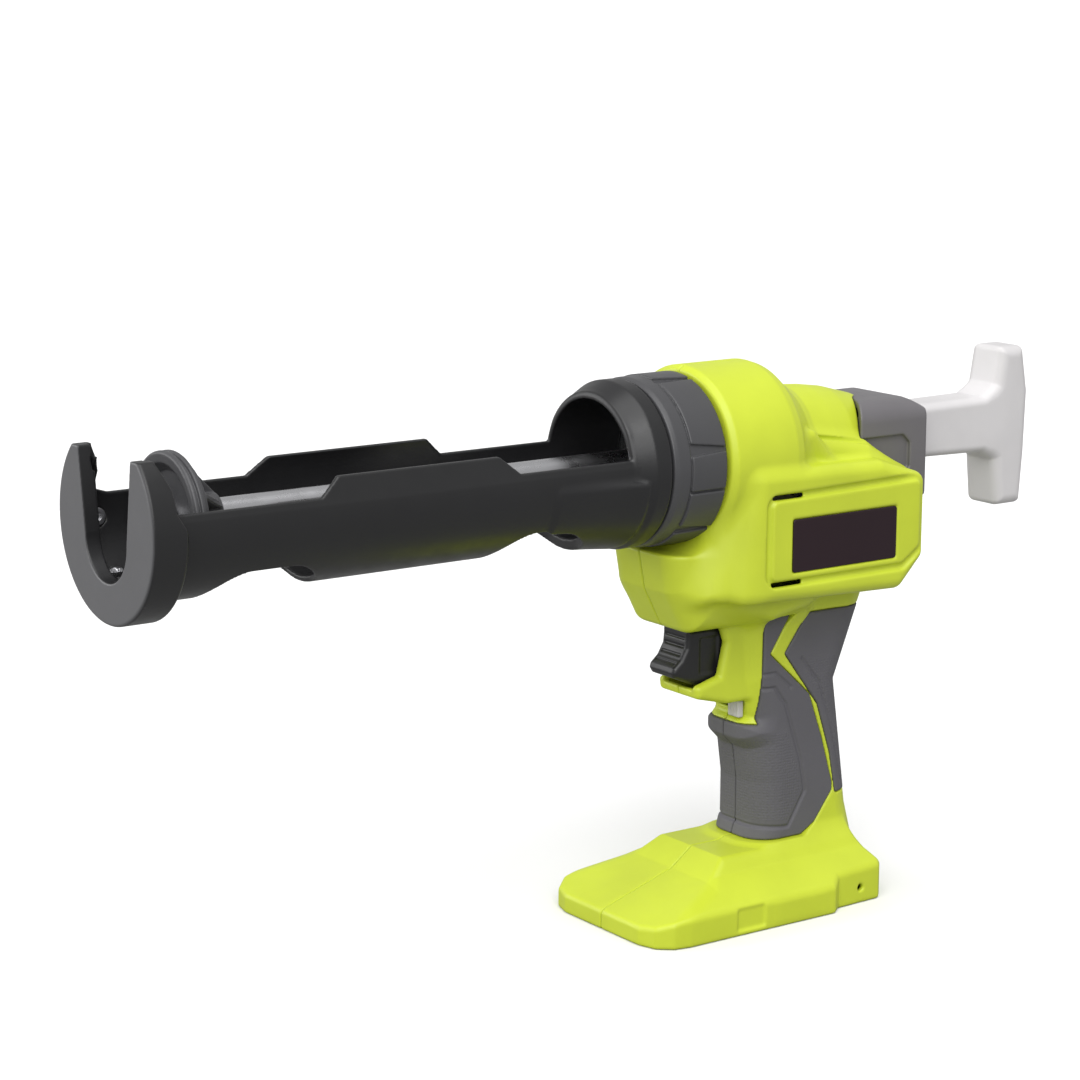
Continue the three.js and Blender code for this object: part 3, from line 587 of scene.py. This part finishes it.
def make_retainer():
    s = Space((0, -35, -35), (14, 35, 25), 0.35)
    field = retainer_field(s)
    for angle in BAY_SCREW_ANGLES:
        field = carve(field, screw_well(s, angle))
    piece = sculpt("front_retainer_skin", field, s)
    dress(piece, "carriage", "black_moulding", MATERIALS["retainer_grey"], "front_retainer")


# ---- carriage trough ----

RIM_TOP = 6.3
EAR_TOP = 13
RIM = (
    (-10, 21), (6.0, 21), (9.0, 15), (9.4, 8), (14.5, RIM_TOP), (70, RIM_TOP), (78, EAR_TOP),
    (146, EAR_TOP), (154, RIM_TOP), (204.5, RIM_TOP), (204.6, 60), (-10, 60),
)
CREASE_Z = 3.5
CREASE_LEAN = (9.5, 3.45)


def trough_field(s):
    radius = np.hypot(s.y, s.z)
    wall = np.abs(radius - (TUBE_R + TUBE_IN) / 2) - (TUBE_R - TUBE_IN) / 2
    above = outline(RIM, s.x, s.z)
    tube = meet(np.broadcast_to(wall, s.shape), between(s.x, 5.3, HUB_FRONT + 6), 0.3)
    tube = carve(tube, above, 0.5)
    # The outside of the rim is flattened upwards from a crease.
    lean_y, lean_z = CREASE_LEAN
    flat = ((np.abs(s.y) - 28.35) * lean_y + (s.z - CREASE_Z) * lean_z) / math.hypot(lean_y, lean_z)
    tube = meet(tube, np.broadcast_to(np.where(s.x > 14.5, flat, -9), s.shape))
    hood = turned([
        (170, 25), (171, 28.4), (186, 29.6), (197, 30.6), (210, 32.0), (210, 25),
    ], s, 1.0)
    hood = meet(hood, s.z + 2, 1.5)
    hood = carve(hood, np.broadcast_to(radius - TUBE_IN, s.shape))
    tube = merge(tube, hood, 3.0)
    for x0, x1 in ((30, 76), (150, 192)):
        plan = outline([(x0, -22), (x1, -22), (x1, 22), (x0, 22)], s.x, s.y, 15)
        tube = carve(tube, meet(plan, s.z), 0.8)
    hub = turned([
        (HUB_FRONT, 25), (HUB_FRONT, 27.2), (HUB_FRONT + 1, 28.6), (HUB_FRONT + 8.6, HUB_R),
        (HUB_STEP, HUB_R), (HUB_STEP, SLEEVE_R), (HUB_REAR, SLEEVE_R), (HUB_REAR, 25),
    ], s, 0.5)
    return carve(merge(tube, hub, 1.0), np.broadcast_to(radius - TUBE_IN, s.shape), 0.3)


def make_trough():
    s = Space((5, -32.6, -32.6), (238, 32.6, 32.6), 0.55)
    field = trough_field(s)
    for angle in BAY_SCREW_ANGLES:
        dent(field, s, (5, -33, -33), (15, 33, 33), lambda q, a=angle: screw_well(q, a))
    piece = sculpt("carriage_trough_skin", field, s)
    dress(piece, "carriage", "black_moulding", MATERIALS["black_moulding"], "carriage_trough")


# ---- locking collar ----

PADS = 6
PAD_START = 49.5
PAD_SPAN = 51.5
PAD_TAPER_TOP = 4
PAD_TAPER_BOTTOM = 1.8
PAD_GROOVE_HALF = 0.9
PAD_GROOVE_TURN = 1.6


def collar_field(s):
    ring = turned([
        (COLLAR_X0, SLEEVE_R + 0.3), (COLLAR_X0, COLLAR_R - 1.2), (COLLAR_X0 + 2, COLLAR_R - 0.5),
        (COLLAR_X0 + 7.2, COLLAR_R - 0.5), (COLLAR_X0 + 8, COLLAR_R - 1.3),
        (COLLAR_X1 - 0.5, COLLAR_R - 1.3), (COLLAR_X1, COLLAR_R - 1.8), (COLLAR_X1, SLEEVE_R + 0.3),
    ], s, 0.25)
    shell = turned([
        (COLLAR_X0 + 8, 31), (COLLAR_X0 + 8, COLLAR_R), (COLLAR_X1 - 1.2, COLLAR_R),
        (COLLAR_X1 - 1.2, 31),
    ], s, 0.4)
    angle = np.degrees(np.arctan2(s.z, s.y))
    along = np.clip((s.x - COLLAR_X0 - 8) / 17, 0, 1)
    pads = None
    for i in range(PADS):
        start = i * 60 + PAD_START
        middle = start + PAD_SPAN / 2
        turn = (angle - middle + 180) % 360 - 180
        upper = turn - PAD_SPAN / 2 - PAD_TAPER_TOP * along
        lower = -turn - PAD_SPAN / 2 - PAD_TAPER_BOTTOM * along
        pad = meet(upper, lower)
        if i % 3 == 2:
            pad = meet(pad, PAD_GROOVE_HALF - np.abs(turn + PAD_GROOVE_TURN))
        pad = pad * math.radians(1) * COLLAR_R
        pads = pad if pads is None else np.minimum(pads, pad)
    return merge(ring, meet(shell, pads, 0.4), 0.3)


def make_collar():
    s = Space((COLLAR_X0, -COLLAR_R, -COLLAR_R), (COLLAR_X1, COLLAR_R, COLLAR_R), 0.38)
    piece = sculpt("locking_collar_skin", collar_field(s), s)
    dress(piece, "collar", "collar_grey", MATERIALS["collar_grey"], "locking_collar")


# ---- push rod, piston and pull handle ----

RACK_MIDDLE = 3.2
RACK_ROOT = 1.8
RACK_FLAT = 2.1
PRESSURE_ANGLE = math.radians(20)


def make_rod():
    s = Space((ROD_X0, -ROD_R, -ROD_R), (ROD_X1, ROD_R, ROD_R), 0.4)
    rod = turned([(ROD_X0, 0), (ROD_X0, ROD_R), (ROD_X1, ROD_R), (ROD_X1, 0)], s, 0.6)
    phase = np.abs((s.x - ROD_X0) % RACK_PITCH - RACK_PITCH / 2)
    tooth = phase - RACK_PITCH / 4 + (s.z + RACK_MIDDLE) * math.tan(PRESSURE_ANGLE)
    teeth_gap = meet(-tooth * 0.94, s.z + RACK_ROOT)
    flat = s.z + RACK_FLAT
    toothed = meet(meet(teeth_gap, flat), between(s.x, ROD_X0 + 12, ROD_X1 - 22))
    field = carve(rod, np.broadcast_to(toothed, s.shape), 0.1)
    piece = sculpt("rack_rod_skin", field, s, 1)
    dress(piece, "push_rod", "bright_steel", MATERIALS["bright_steel"], "rack_rod")


PISTON_RIBS = 6


def make_piston():
    low, high = gun_box("piston")
    x = low[0]
    r = high[1]
    s = Space(low, high, 0.35)
    field = turned([
        (x + 3.2, 0), (x + 3.2, 16.5), (x, 19.5), (x, r - 0.8), (x + 0.8, r), (x + 1.9, r),
        (x + 2.1, r - 1), (x + 2.7, r - 1), (x + 2.9, r), (x + 4.4, r), (x + 4.9, r - 0.6),
        (x + 4.9, 20.5), (ROD_X0, 20.5), (high[0], 6.8), (high[0], 0),
    ], s, 0.2)
    field = carve(field, turned([(x - 5, 0), (x - 5, 2.6), (x + 20, 2.6), (x + 20, 0)], s))
    start = ROD_X0 - 0.4
    bore = turned([(start, 0), (start, ROD_R + 0.3), (high[0] + 5, ROD_R + 0.3), (high[0] + 5, 0)], s)
    field = carve(field, bore)
    # Hollows leave radial ribs between the disc and the rod's socket.
    angle = np.degrees(np.arctan2(s.z, s.y))
    for i in range(PISTON_RIBS):
        turn = (angle - 60 * i + 180) % 360 - 180
        wedge = (np.abs(turn) - 30) * math.radians(1) * np.hypot(s.y, s.z) + 1.2
        hollow = meet(meet(wedge, 7.6 - np.hypot(s.y, s.z)), ROD_X0 + 0.4 - s.x)
        field = carve(field, hollow, 0.4)
    piece = sculpt("piston_skin", field, s)
    dress(piece, "push_rod", "collar_grey", MATERIALS["collar_grey"], "piston")


def make_handle():
    low, high = gun_box("pull_handle")
    s = Space(low, high, 0.5)
    shape = outline([
        (low[0], -9.3), (400, -10.4), (406.2, -16), (408.2, high[2] - 66.6), (422.6, -35.6), (424.2, -14),
        (425, 12), (421.6, 31), (409, 31), (406.4, 16), (400, 9.4), (low[0], 8.9),
    ], s.x, s.z, 2.5)
    stem = outline([(low[0], -9.3), (403, -10.5), (403, 9.5), (low[0], 8.9)], s.x, s.z)
    shape = merge(shape, stem, 6)
    field = meet(np.broadcast_to(shape, s.shape), between(s.y, -10, 10), 4.5)
    bore = turned([(340, 0), (340, ROD_R + 0.3), (404.4, ROD_R + 0.3), (404.4, 0)], s)
    field = carve(field, bore)
    piece = sculpt("pull_handle_skin", field, s)
    dress(piece, "push_rod", "handle_grey", MATERIALS["handle_grey"], "pull_handle")


# ---- housing ----

def hump_field(s):
    return turned([
        (BODY_X0, 0), (BODY_X0, 33.8), (BODY_X0 + 2.4, BODY_R), (278, BODY_R), (282, 34.2),
        (293, 25.4), (297, 23.8), (308, 23), (318, 21.6), (TUNNEL_END, 17.6), (TUNNEL_END, 0),
    ], s, 0.8)


def shoulder_field(s):
    side = outline([
        (BODY_X0 + 0.4, -54), (BODY_X0 + 0.4, 8), (285, 8), (322, 2), (342, -10), (342, -48),
        (275, -64),
    ], s.x, s.z, 3)
    return meet(np.broadcast_to(side, s.shape), np.abs(s.y) - 28, 5)


def boss_field(s):
    side = outline([
        (249, -2), (320, -3.4), (343, -11), (343, -44), (331, -56.4), (249, -54),
    ], s.x, s.z, 5)
    body = meet(np.broadcast_to(side, s.shape), np.abs(s.y) - BOSS_HALF, 5)
    # The front flank slopes inwards, more so towards the bottom.
    slope = 0.55 + 1.2 * np.clip((-12 - s.z) / 41, 0, 1)
    front = (257 - s.x - (BOSS_HALF - np.abs(s.y)) * slope) / np.sqrt(1 + slope * slope)
    rake = outline([(249, -4), (237, -53), (300, -53), (300, -4)], s.x, s.z, 3)
    flank = meet(np.broadcast_to(rake, s.shape), np.abs(s.y) - 34, 5)
    return meet(merge(body, flank, 2), front, 4.0)


def nose_field(s):
    side = outline([(225.5, -20), (231, -50), (240, -67), (300, -67.5), (300, -20)], s.x, s.z, 4)
    body = meet(np.broadcast_to(side, s.shape), np.abs(s.y) - 23, 11)
    return meet(body, s.z + 34.6, 1.2)


GRIP_LINE = (
    (266, -46), (270.5, -92), (275.2, -106), (271.6, -109.5), (271.6, -115), (276.5, -120),
    (278.5, -134), (278.5, -150), (270, -178), (336, -178), (327.5, -148), (320, -96), (340, -46),
)


def grip_field(s):
    side = outline(GRIP_LINE, s.x, s.z, 1.5)
    return meet(np.broadcast_to(side, s.shape), np.abs(s.y) - GRIP_HALF, 11.5)


def bezel_field(s):
    side = outline([
        (256, -56), (262.4, -74), (259.4, -87), (248, -90.2), (248.6, -95), (264, -99), (290, -99),
        (290, -56),
    ], s.x, s.z, 1.6)
    return meet(np.broadcast_to(side, s.shape), np.abs(s.y) - 13, 2.5)


def foot_field(s):
    plan = outline([
        (211.5, -24), (214, -32), (220, -36.8), (227, -FOOT_HALF), (300, -FOOT_HALF), (305, -34),
        (327, -33), (330, -30), (330, 30), (327, 33), (305, 34), (300, FOOT_HALF), (227, FOOT_HALF),
        (220, 36.8), (214, 32), (211.5, 24),
    ], s.x, s.y, 1.5)
    along = np.interp(s.x, [205, 211.5, 246, 256, 322, 331], [-180, -177, -166, -158.5, -158.5, -172])
    across = np.interp(np.abs(s.y), [0, 18, 24, 38, 50], [-150, -155, -164, -173.4, -178])
    top = meet(s.z - along.astype(np.float32), s.z - across.astype(np.float32), 3) * 0.85
    walls = meet(np.broadcast_to(plan, s.shape), top, 1.6)
    return meet(walls, FLOOR - s.z, 1.2)


PANEL = ((262.5, -13), (341, -11.5), (341, -40), (331, -46.8), (262.5, -46.8))
FRONT_RUBBER = (
    (277.8, -60), (292.5, -60), (291.5, -65), (281.5, -80.3), (302, -99), (309, -118), (315, -138),
    (315, -141), (306, -153), (299, -157.2), (250, -157.2), (250, -109), (277.8, -109),
)
REAR_RUBBER = (
    (300, -65.5), (350, -66), (350, -142.5), (316.5, -142.5), (313, -125), (306, -104),
    (288.5, -81),
)
GRIP_GROOVE = (
    (270.5, -94), (283.8, -94.4), (289.6, -102), (297.8, -126), (300.2, -139), (292, -152.5),
    (268, -151),
)
FILLETS = (
    (shoulder_field, 5), (boss_field, 3), (nose_field, 6), (grip_field, 5), (bezel_field, 1.5),
    (foot_field, 7),
)


def body_fields(s):
    """The outside of both housing shells before anything is cut into it, and the same without fillets."""
    body = plain = hump_field(s)
    for shape, fillet in FILLETS:
        field = shape(s)
        body = merge(body, field, fillet)
        plain = merge(plain, field)
    return body, plain


def cover_field(s, grow=0.0):
    """The rear cover: a rounded arch over the end of the rod's tunnel."""
    arch = outline([(-22, -30), (-22, 17), (22, 17), (22, -30)], s.y, s.z, 9)
    side = outline([
        (305, -3.5), (305, 17.3), (349, 17.3), (COVER_END, 12), (COVER_END, -24), (344, -24),
        (343.4, -14), (338.4, -7.8), (322, -3.2),
    ], s.x, s.z, 1.5)
    shape = meet(np.broadcast_to(arch, s.shape), np.broadcast_to(side, s.shape), 2.0) - grow
    mouth = TUNNEL_END + 0.3 - grow - 14.5 * np.minimum(np.abs(s.y), 26) / 26
    return meet(shape, (mouth - s.x) * 0.87, 0.6 if grow == 0 else 0)


def side_details(field, s):
    """Grooves, ribs and slots on the flat side of the body."""
    ring = lambda q: np.hypot(np.abs(outline(PANEL, q.x, q.z, 4)), q.y + BOSS_HALF) - 1.5
    dent(field, s, (258, -40, -50), (344, -34, -9), ring, 0.6)
    for z in (-13, -47):
        dent(field, s, (264.5, -42, z - 1), (279.5, -34, z + 1),
             lambda q: block(q, (264.5, -44, z - 0.9), (279.5, -34, z + 0.9), 0.5), 0.3)
    dent(field, s, (273.7, -40, -43.3), (327.3, -36.9, -21.7),
         lambda q: block(q, (273.7, -44, -43.3), (327.3, -36.9, -21.7), 1.0), 0.4)
    rib_line = [(279, 7.5), (290, 7.0), (301, -6)]
    rib = lambda q: np.hypot(path(rib_line, q.x, q.z) * 0.8, q.y + 27.5) - 2.6
    swell(field, s, (276, -32, -10), (305, -22, 10), rib, 1.6)
    crease_line = [(262, 8.6), (280, 8.2), (322, 2.2), (331, 0.4)]
    crease = lambda q: np.hypot(path(crease_line, q.x, q.z), q.y + 24.6) - 1.1
    dent(field, s, (258, -30, -2), (333, -18, 12), crease, 0.5)


def openings(field, s):
    """Everything cut through or into the shell, on the near side and along the middle."""
    dent(field, s, (240, -10, -93), (277, 1, -66),
         lambda q: block(q, (236, -9.3, -91.8), (276.2, 9.3, -67.2), 1.2), 0.5)
    seat = [(230, 0), (230, SLEEVE_R + 0.2), (256.8, SLEEVE_R + 0.2), (256.8, 0)]
    dent(field, s, (236, -30, -30), (257, 1, 30), lambda q: turned(seat, q))
    tunnel = lambda q: np.broadcast_to(np.hypot(q.y, q.z) - ROD_BORE_R, (q.x.size, q.y.size, q.z.size))
    dent(field, s, (256, -8, -8), (345, 1, 8), tunnel)
    dent(field, s, (300, -24, -27), (360, 1, 20), lambda q: cover_field(q, 0.35), 0.5)
    recess = lambda q: block(q, (219, -30, FLOOR - 9), (323, 30, FLOOR + 2.8), 1.5)
    dent(field, s, (219, -30, FLOOR - 2), (323, 1, FLOOR + 4), recess, 0.6)
    stem = lambda q: block(q, (284, -14, FLOOR - 9), (320, 14, -122), 2.5)
    dent(field, s, (284, -14, FLOOR - 2), (320, 1, -120), stem, 0.8)
    pad = lambda q: block(q, (250, -44, -183), (264, -FOOT_HALF + 0.9, -174), 0.8)
    dent(field, s, (250, -40, -184), (264, -36, -173), pad, 0.4)
    plate = lambda q: block(q, (268.5, -FOOT_HALF, -183.2), (296, -34, -174.6), 0.8)
    swell(field, s, (268, -39, -184), (297, -34, -173), plate, 0.4)
    pin = lambda q: round_y(q, 317, -178.5, 1.5)
    dent(field, s, (313, -36, -182), (321, -29.6, -174), lambda q: meet(pin(q), q.y + 29.5), 0.3)
    window = lambda q: block(q, (262, -9.6, -107.2), (274.9, 9.6, -99), 0.8)
    dent(field, s, (262, -9.6, -107.2), (274.9, 0, -99), window, 0.3)
    lock_slot = lambda q: block(q, (272, -7.4, -104.3), (284, 7.4, -101.9), 0.2)
    dent(field, s, (272, -7.4, -104.3), (284, 0, -101.9), lock_slot)


def grip_pockets(field, s):
    """The beds that the rubber grips lie in."""
    deep = grip_field(s) + SKIN + 0.3
    for line in (FRONT_RUBBER, REAR_RUBBER):
        bed = meet(outline(line, s.x, s.z, 1.0) - 0.05, -deep)
        bed = meet(bed, s.z + 64.5)
        if line is FRONT_RUBBER:
            bed = carve(bed, bezel_field(s) - 0.1)
        field[:] = carve(field, bed, 0.4)


def shell_space():
    return Space((211, -39.5, FLOOR), (345, 0.2, 36), 0.6)


def make_housing():
    s = shell_space()
    outer, plain = body_fields(s)
    hollow = meet(plain + WALL, s.x - 330)
    field = np.ascontiguousarray(outer)
    side_details(field, s)
    grip_pockets(field, s)
    openings(field, s)
    field = carve(field, hollow)
    left = meet(field, s.y + SEAM, 0.25)
    piece = sculpt("housing_left_skin", left, s)
    dress(piece, "housing", "lime_shell", MATERIALS["lime_shell"], "housing_left")
    right = field.copy()
    dial_low, dial_high = gun_box("speed_dial")
    dial = (dial_low + dial_high) / 2
    reach = (dial_high[0] - dial_low[0]) / 2 + 0.8
    dent(right, s, (dial_low[0], -40, dial_low[2]), (dial_high[0], -18, dial_high[2]),
         lambda q: meet(round_y(q, dial[0], dial[2], reach), q.y + 19.9), 0.4)
    for i in range(1, HOUSING_SCREWS + 1):
        low, high = gun_box(f"housing_screw_{i}")
        x, z, top = (low[0] + high[0]) / 2, (low[2] + high[2]) / 2, high[1]
        dent(right, s, (x - 4, -40, z - 4), (x + 4, -top, z + 4),
             lambda q: meet(round_y(q, x, z, 3.5), q.y + top - 2.6), 0.3)
    right = meet(right, s.y + SEAM, 0.25)
    piece = mirrored("housing_right_skin", right, s)
    dress(piece, "housing", "lime_shell", MATERIALS["lime_shell"], "housing_right")


def grip_skin(s, line):
    outer = grip_field(s) - 0.15
    skin = meet(outer, -(outer + SKIN), 0.3)
    zone = meet(outline(line, s.x, s.z, 1.0) + 0.25, s.z + 65.2)
    skin = meet(skin, np.broadcast_to(zone, s.shape), 0.5)
    return meet(skin, s.y + SEAM, 0.3)


def set_mask(piece, line):
    """Marks the part of a grip inside an outline, where the rubber is pebbled."""
    mesh = piece.data
    co = np.empty(len(mesh.vertices) * 3, np.float32)
    mesh.vertices.foreach_get("co", co)
    p = (co.reshape(-1, 3) - ORIGIN) / MM
    inside = np.clip(-outline(line, p[:, 0], p[:, 2]) / 1.5, 0, 1)
    attribute = mesh.attributes.new("pebbled", "FLOAT", "POINT")
    attribute.data.foreach_set("value", inside.astype(np.float32))


FRONT_PEBBLED = (
    (262, -118), (284, -112), (291, -112), (297, -127), (299, -139), (291.5, -150.5), (266, -149.5),
)
REAR_PEBBLED = ((300, -84), (318, -84), (330, -140), (318.5, -140), (309, -104), (299, -92))


def make_grips():
    s = Space((255, -GRIP_HALF - 1.5, -160), (342, 0.2, -62), 0.45)
    front = carve(grip_skin(s, FRONT_RUBBER), bezel_field(s) - 0.3, 0.3)
    line = path(GRIP_GROOVE, s.x, s.z)
    depth = grip_field(s) - 0.15
    front = carve(front, np.hypot(line, depth) - 0.75, 0.4)
    knuckle = path([(278, -88.3), (284, -88.3), (292, -95)], s.x, s.z)
    front = carve(front, np.hypot(knuckle, depth) - 0.6, 0.4)
    rear = grip_skin(s, REAR_RUBBER)
    line = path([(297.5, -84), (307, -95.5), (314.5, -117), (320.5, -138.5)], s.x, s.z)
    rear = carve(rear, np.hypot(line, depth) - 0.6, 0.4)
    for name, field, mask in (("front", front, FRONT_PEBBLED), ("rear", rear, REAR_PEBBLED)):
        for side, make in (("left", sculpt), ("right", mirrored)):
            piece = make(f"grip_{name}_{side}_skin", field, s)
            set_mask(piece, mask)
            dress(piece, "housing", "grip_rubber", MATERIALS["grip_rubber"], f"grip_{name}_{side}")


def make_cover():
    s = Space((314, -22.5, -25), (COVER_END, 22.5, 18), 0.45)
    field = cover_field(s)
    hollow = meet(field + WALL, s.x - 351)
    hollow = merge(hollow, meet(meet(np.abs(s.y) - 17, between(s.z, -1, 13.5), 3), s.x - 351))
    field = carve(field, hollow)
    field = carve(field, np.broadcast_to(np.hypot(s.y, s.z) - ROD_BORE_R, s.shape), 0.5)
    pocket = outline([(310, 2.5), (344, 2.5), (347.5, -1), (347.5, -12), (310, -12)], s.x, s.z, 2)
    field = carve(field, meet(np.broadcast_to(pocket, s.shape), 20.3 - np.abs(s.y)), 0.4)
    piece = sculpt("rear_cover_skin", field, s)
    dress(piece, "housing", "cover_grey", MATERIALS["cover_grey"], "rear_cover")


def make_labels():
    for side in ("left", "right"):
        low, high = gun_box(f"label_plate_{side}")
        s = Space(low, high, 0.3)
        field = block(s, low, high, 0.25)
        corners = outline([
            (low[0], low[2]), (high[0], low[2]), (high[0], high[2]), (low[0], high[2]),
        ], s.x, s.z, 1.5)
        field = meet(field, np.broadcast_to(corners, s.shape), 0.2)
        piece = sculpt(f"label_plate_{side}_skin", field, s)
        dress(piece, "housing", "label_dark", MATERIALS["label_dark"], f"label_plate_{side}")


# ---- controls ----

TRIGGER_HALF = 8.5


def make_trigger():
    low, high = gun_box("trigger")
    s = Space((low[0], -TRIGGER_HALF, low[2]), (high[0], TRIGGER_HALF, high[2]), 0.32)
    side = outline([
        (246.6, -68.1), (246.6, -71), (246.2, -75), (243.6, -79.5), (240.2, -82.4), (239.6, -84.4),
        (240.8, -86.4), (250, -90.2), (262, -91.2), (265, -89.6), (265, -87.6), (274.7, -87.6),
        (274.7, -68.1),
    ], s.x, s.z, 1.0)
    field = meet(np.broadcast_to(side, s.shape), np.abs(s.y) - TRIGGER_HALF, 2.2)
    for z in (-71.4, -74.6, -77.8, -81.0):
        ridge = np.hypot(s.z - z, side) - 0.55
        field = carve(field, meet(ridge, np.abs(s.y) - 6.2, 0.3), 0.3)
    side_step = block(s, (252, -9.4, -86.5), (262, -7.9, -71), 1.5)
    field = carve(field, side_step, 0.5)
    plunger = turned([(273, 0), (273, 2.1), (287.6, 2.1), (287.6, 0)], s, 0.4, z=-77)
    field = merge(field, plunger)
    piece = sculpt("trigger_skin", field, s)
    dress(piece, "trigger", "black_moulding", MATERIALS["black_moulding"], "trigger")


def make_lock_slide():
    low, high = gun_box("lock_slide")
    s = Space(low, high, 0.2)
    tab = block(s, (low[0], low[1], low[2]), (274.6, high[1], high[2]), 0.7)
    for y in (-7.2, -5.5, -3.8):
        tab = carve(tab, np.hypot(s.x - low[0], s.y - y) - 0.4, 0.2)
    middle = (low[2] + high[2]) / 2
    stem = block(s, (274, -6.7, middle - 0.8), (high[0], -4.3, middle + 0.8), 0.2)
    piece = sculpt("lock_slide_skin", merge(tab, stem, 0.2), s)
    dress(piece, "lock_slide", "button_grey", MATERIALS["button_grey"], "lock_slide")


DIAL_NOTCHES = 12


def make_dial():
    low, high = gun_box("speed_dial")
    x, z = (low[0] + high[0]) / 2, (low[2] + high[2]) / 2
    r = (high[0] - low[0]) / 2
    s = Space(low, high, 0.3)
    radius = np.hypot(s.x - x, s.z - z)
    angle = np.arctan2(s.z - z, s.x - x)
    scallop = r - 0.45 - 0.45 * np.cos(angle * DIAL_NOTCHES * 2)
    knob = meet(np.broadcast_to(radius - scallop, s.shape), between(s.y, 20.4, high[1]), 0.9)
    pointer = block(s, (x - 0.7, high[1] - 0.8, z + 1), (x + 0.7, high[1] + 2, z + r - 1.6), 0.3)
    knob = carve(knob, pointer, 0.2)
    dish = np.sqrt((s.x - x) ** 2 + (s.z - z) ** 2 + (s.y - high[1] - 13.4) ** 2) - 14
    knob = carve(knob, dish, 0.3)
    shaft = meet(np.broadcast_to(radius - 2, s.shape), between(s.y, low[1], 22), 0.3)
    piece = sculpt("speed_dial_skin", merge(knob, shaft, 0.3), s)
    dress(piece, "speed_dial", "collar_grey", MATERIALS["collar_grey"], "speed_dial")


# ---- screws ----

def screw_piece(name, node, body, along, head):
    """A socket screw whose head faces along a direction. head is (radius, height, socket radius)."""
    low, high = gun_box(node)
    middle = (low + high) / 2
    along = np.array(along, float)
    half = np.abs(high - low) @ np.abs(along) / 2
    half = min(half, float(np.linalg.norm(high - low)) / 2)
    s = Space(low, high, 0.16)
    d = [s.x - middle[0], s.y - middle[1], s.z - middle[2]]
    reach = d[0] * along[0] + d[1] * along[1] + d[2] * along[2]
    across = np.sqrt(np.maximum(d[0] ** 2 + d[1] ** 2 + d[2] ** 2 - reach ** 2, 0))
    radius, height, socket = head
    cap = meet(across - radius, between(reach, half - height, half), 0.35)
    shank = meet(across - radius * 0.5, between(reach, -half, half - height + 0.3), 0.2)
    field = merge(cap, shank, 0.1)
    field = carve(field, meet(across - socket, half - height * 0.6 - reach), 0.15)
    piece = sculpt(name, field, s, 1)
    dress(piece, body, "bright_steel", MATERIALS["bright_steel"], node)


def make_screws():
    for i, angle in enumerate(BAY_SCREW_ANGLES, 1):
        a = math.radians(angle)
        screw_piece(f"retainer_screw_{i}_skin", f"retainer_screw_{i}", "carriage",
                    (0, -math.cos(a), -math.sin(a)), (3.2, 1.6, 1.4))
    for i in range(1, HOUSING_SCREWS + 1):
        screw_piece(f"housing_screw_{i}_skin", f"housing_screw_{i}", "housing", (0, 1, 0),
                    (3.0, 2.4, 1.3))
    screw_piece("piston_screw_skin", "piston_screw", "push_rod", (-1, 0, 0), (4.6, 3.2, 2.0))


# ---- stage ----

def make_floor():
    """A pale floor that looks even to the camera and gives back less light from below."""
    material = bpy.data.materials.new("floor")
    material.use_nodes = True
    nodes = material.node_tree.nodes
    links = material.node_tree.links
    shader = nodes["Principled BSDF"]
    shader.inputs["Roughness"].default_value = 0.8
    shader.inputs["Specular IOR Level"].default_value = 0.1
    where = nodes.new("ShaderNodeTexCoord").outputs["Object"]
    patches = noise(nodes, links, where, 220.0)
    tone = mix_colour(nodes, links, patches, (0.93, 0.93, 0.93), (0.95, 0.95, 0.95))
    seen = nodes.new("ShaderNodeLightPath").outputs["Is Camera Ray"]
    links.new(mix_colour(nodes, links, seen, (0.30, 0.30, 0.30), tone), shader.inputs["Base Color"])
    size = 60.0
    bottom = cad_box[0].z
    corners = np.array([
        (-size, -size, bottom), (size, -size, bottom), (size, size, bottom), (-size, size, bottom),
    ])
    floor = new_mesh("floor", corners, np.array([[0, 1, 2, 3]]))
    floor.data.materials.append(material)


def sun(name, place, power, spread):
    """A distant soft lamp that shines from a place towards the middle."""
    data = bpy.data.lights.new(name, "SUN")
    data.energy = power
    data.angle = math.radians(spread)
    light = bpy.data.objects.new(name, data)
    bpy.context.scene.collection.objects.link(light)
    light.rotation_euler = (-Vector(place)).to_track_quat("-Z", "Y").to_euler()


def make_lights():
    sun("overhead", (-0.15, -0.25, 1.0), 1.5, 60)
    sun("key", (-0.65, -0.85, 0.75), 1.6, 50)
    sun("front_left", (-0.9, 0.75, 0.15), 1.6, 60)
    world = bpy.data.worlds.new("studio")
    world.use_nodes = True
    background = world.node_tree.nodes["Background"]
    background.inputs["Color"].default_value = (1, 1, 1, 1)
    background.inputs["Strength"].default_value = 0.5
    bpy.context.scene.world = world
    bpy.context.scene.view_settings.view_transform = "Standard"


make_floor()
make_lights()
make_retainer()
make_trough()
make_collar()
make_rod()
make_piston()
make_handle()
make_housing()
make_grips()
make_cover()
make_labels()
make_trigger()
make_lock_slide()
make_dial()
make_screws()
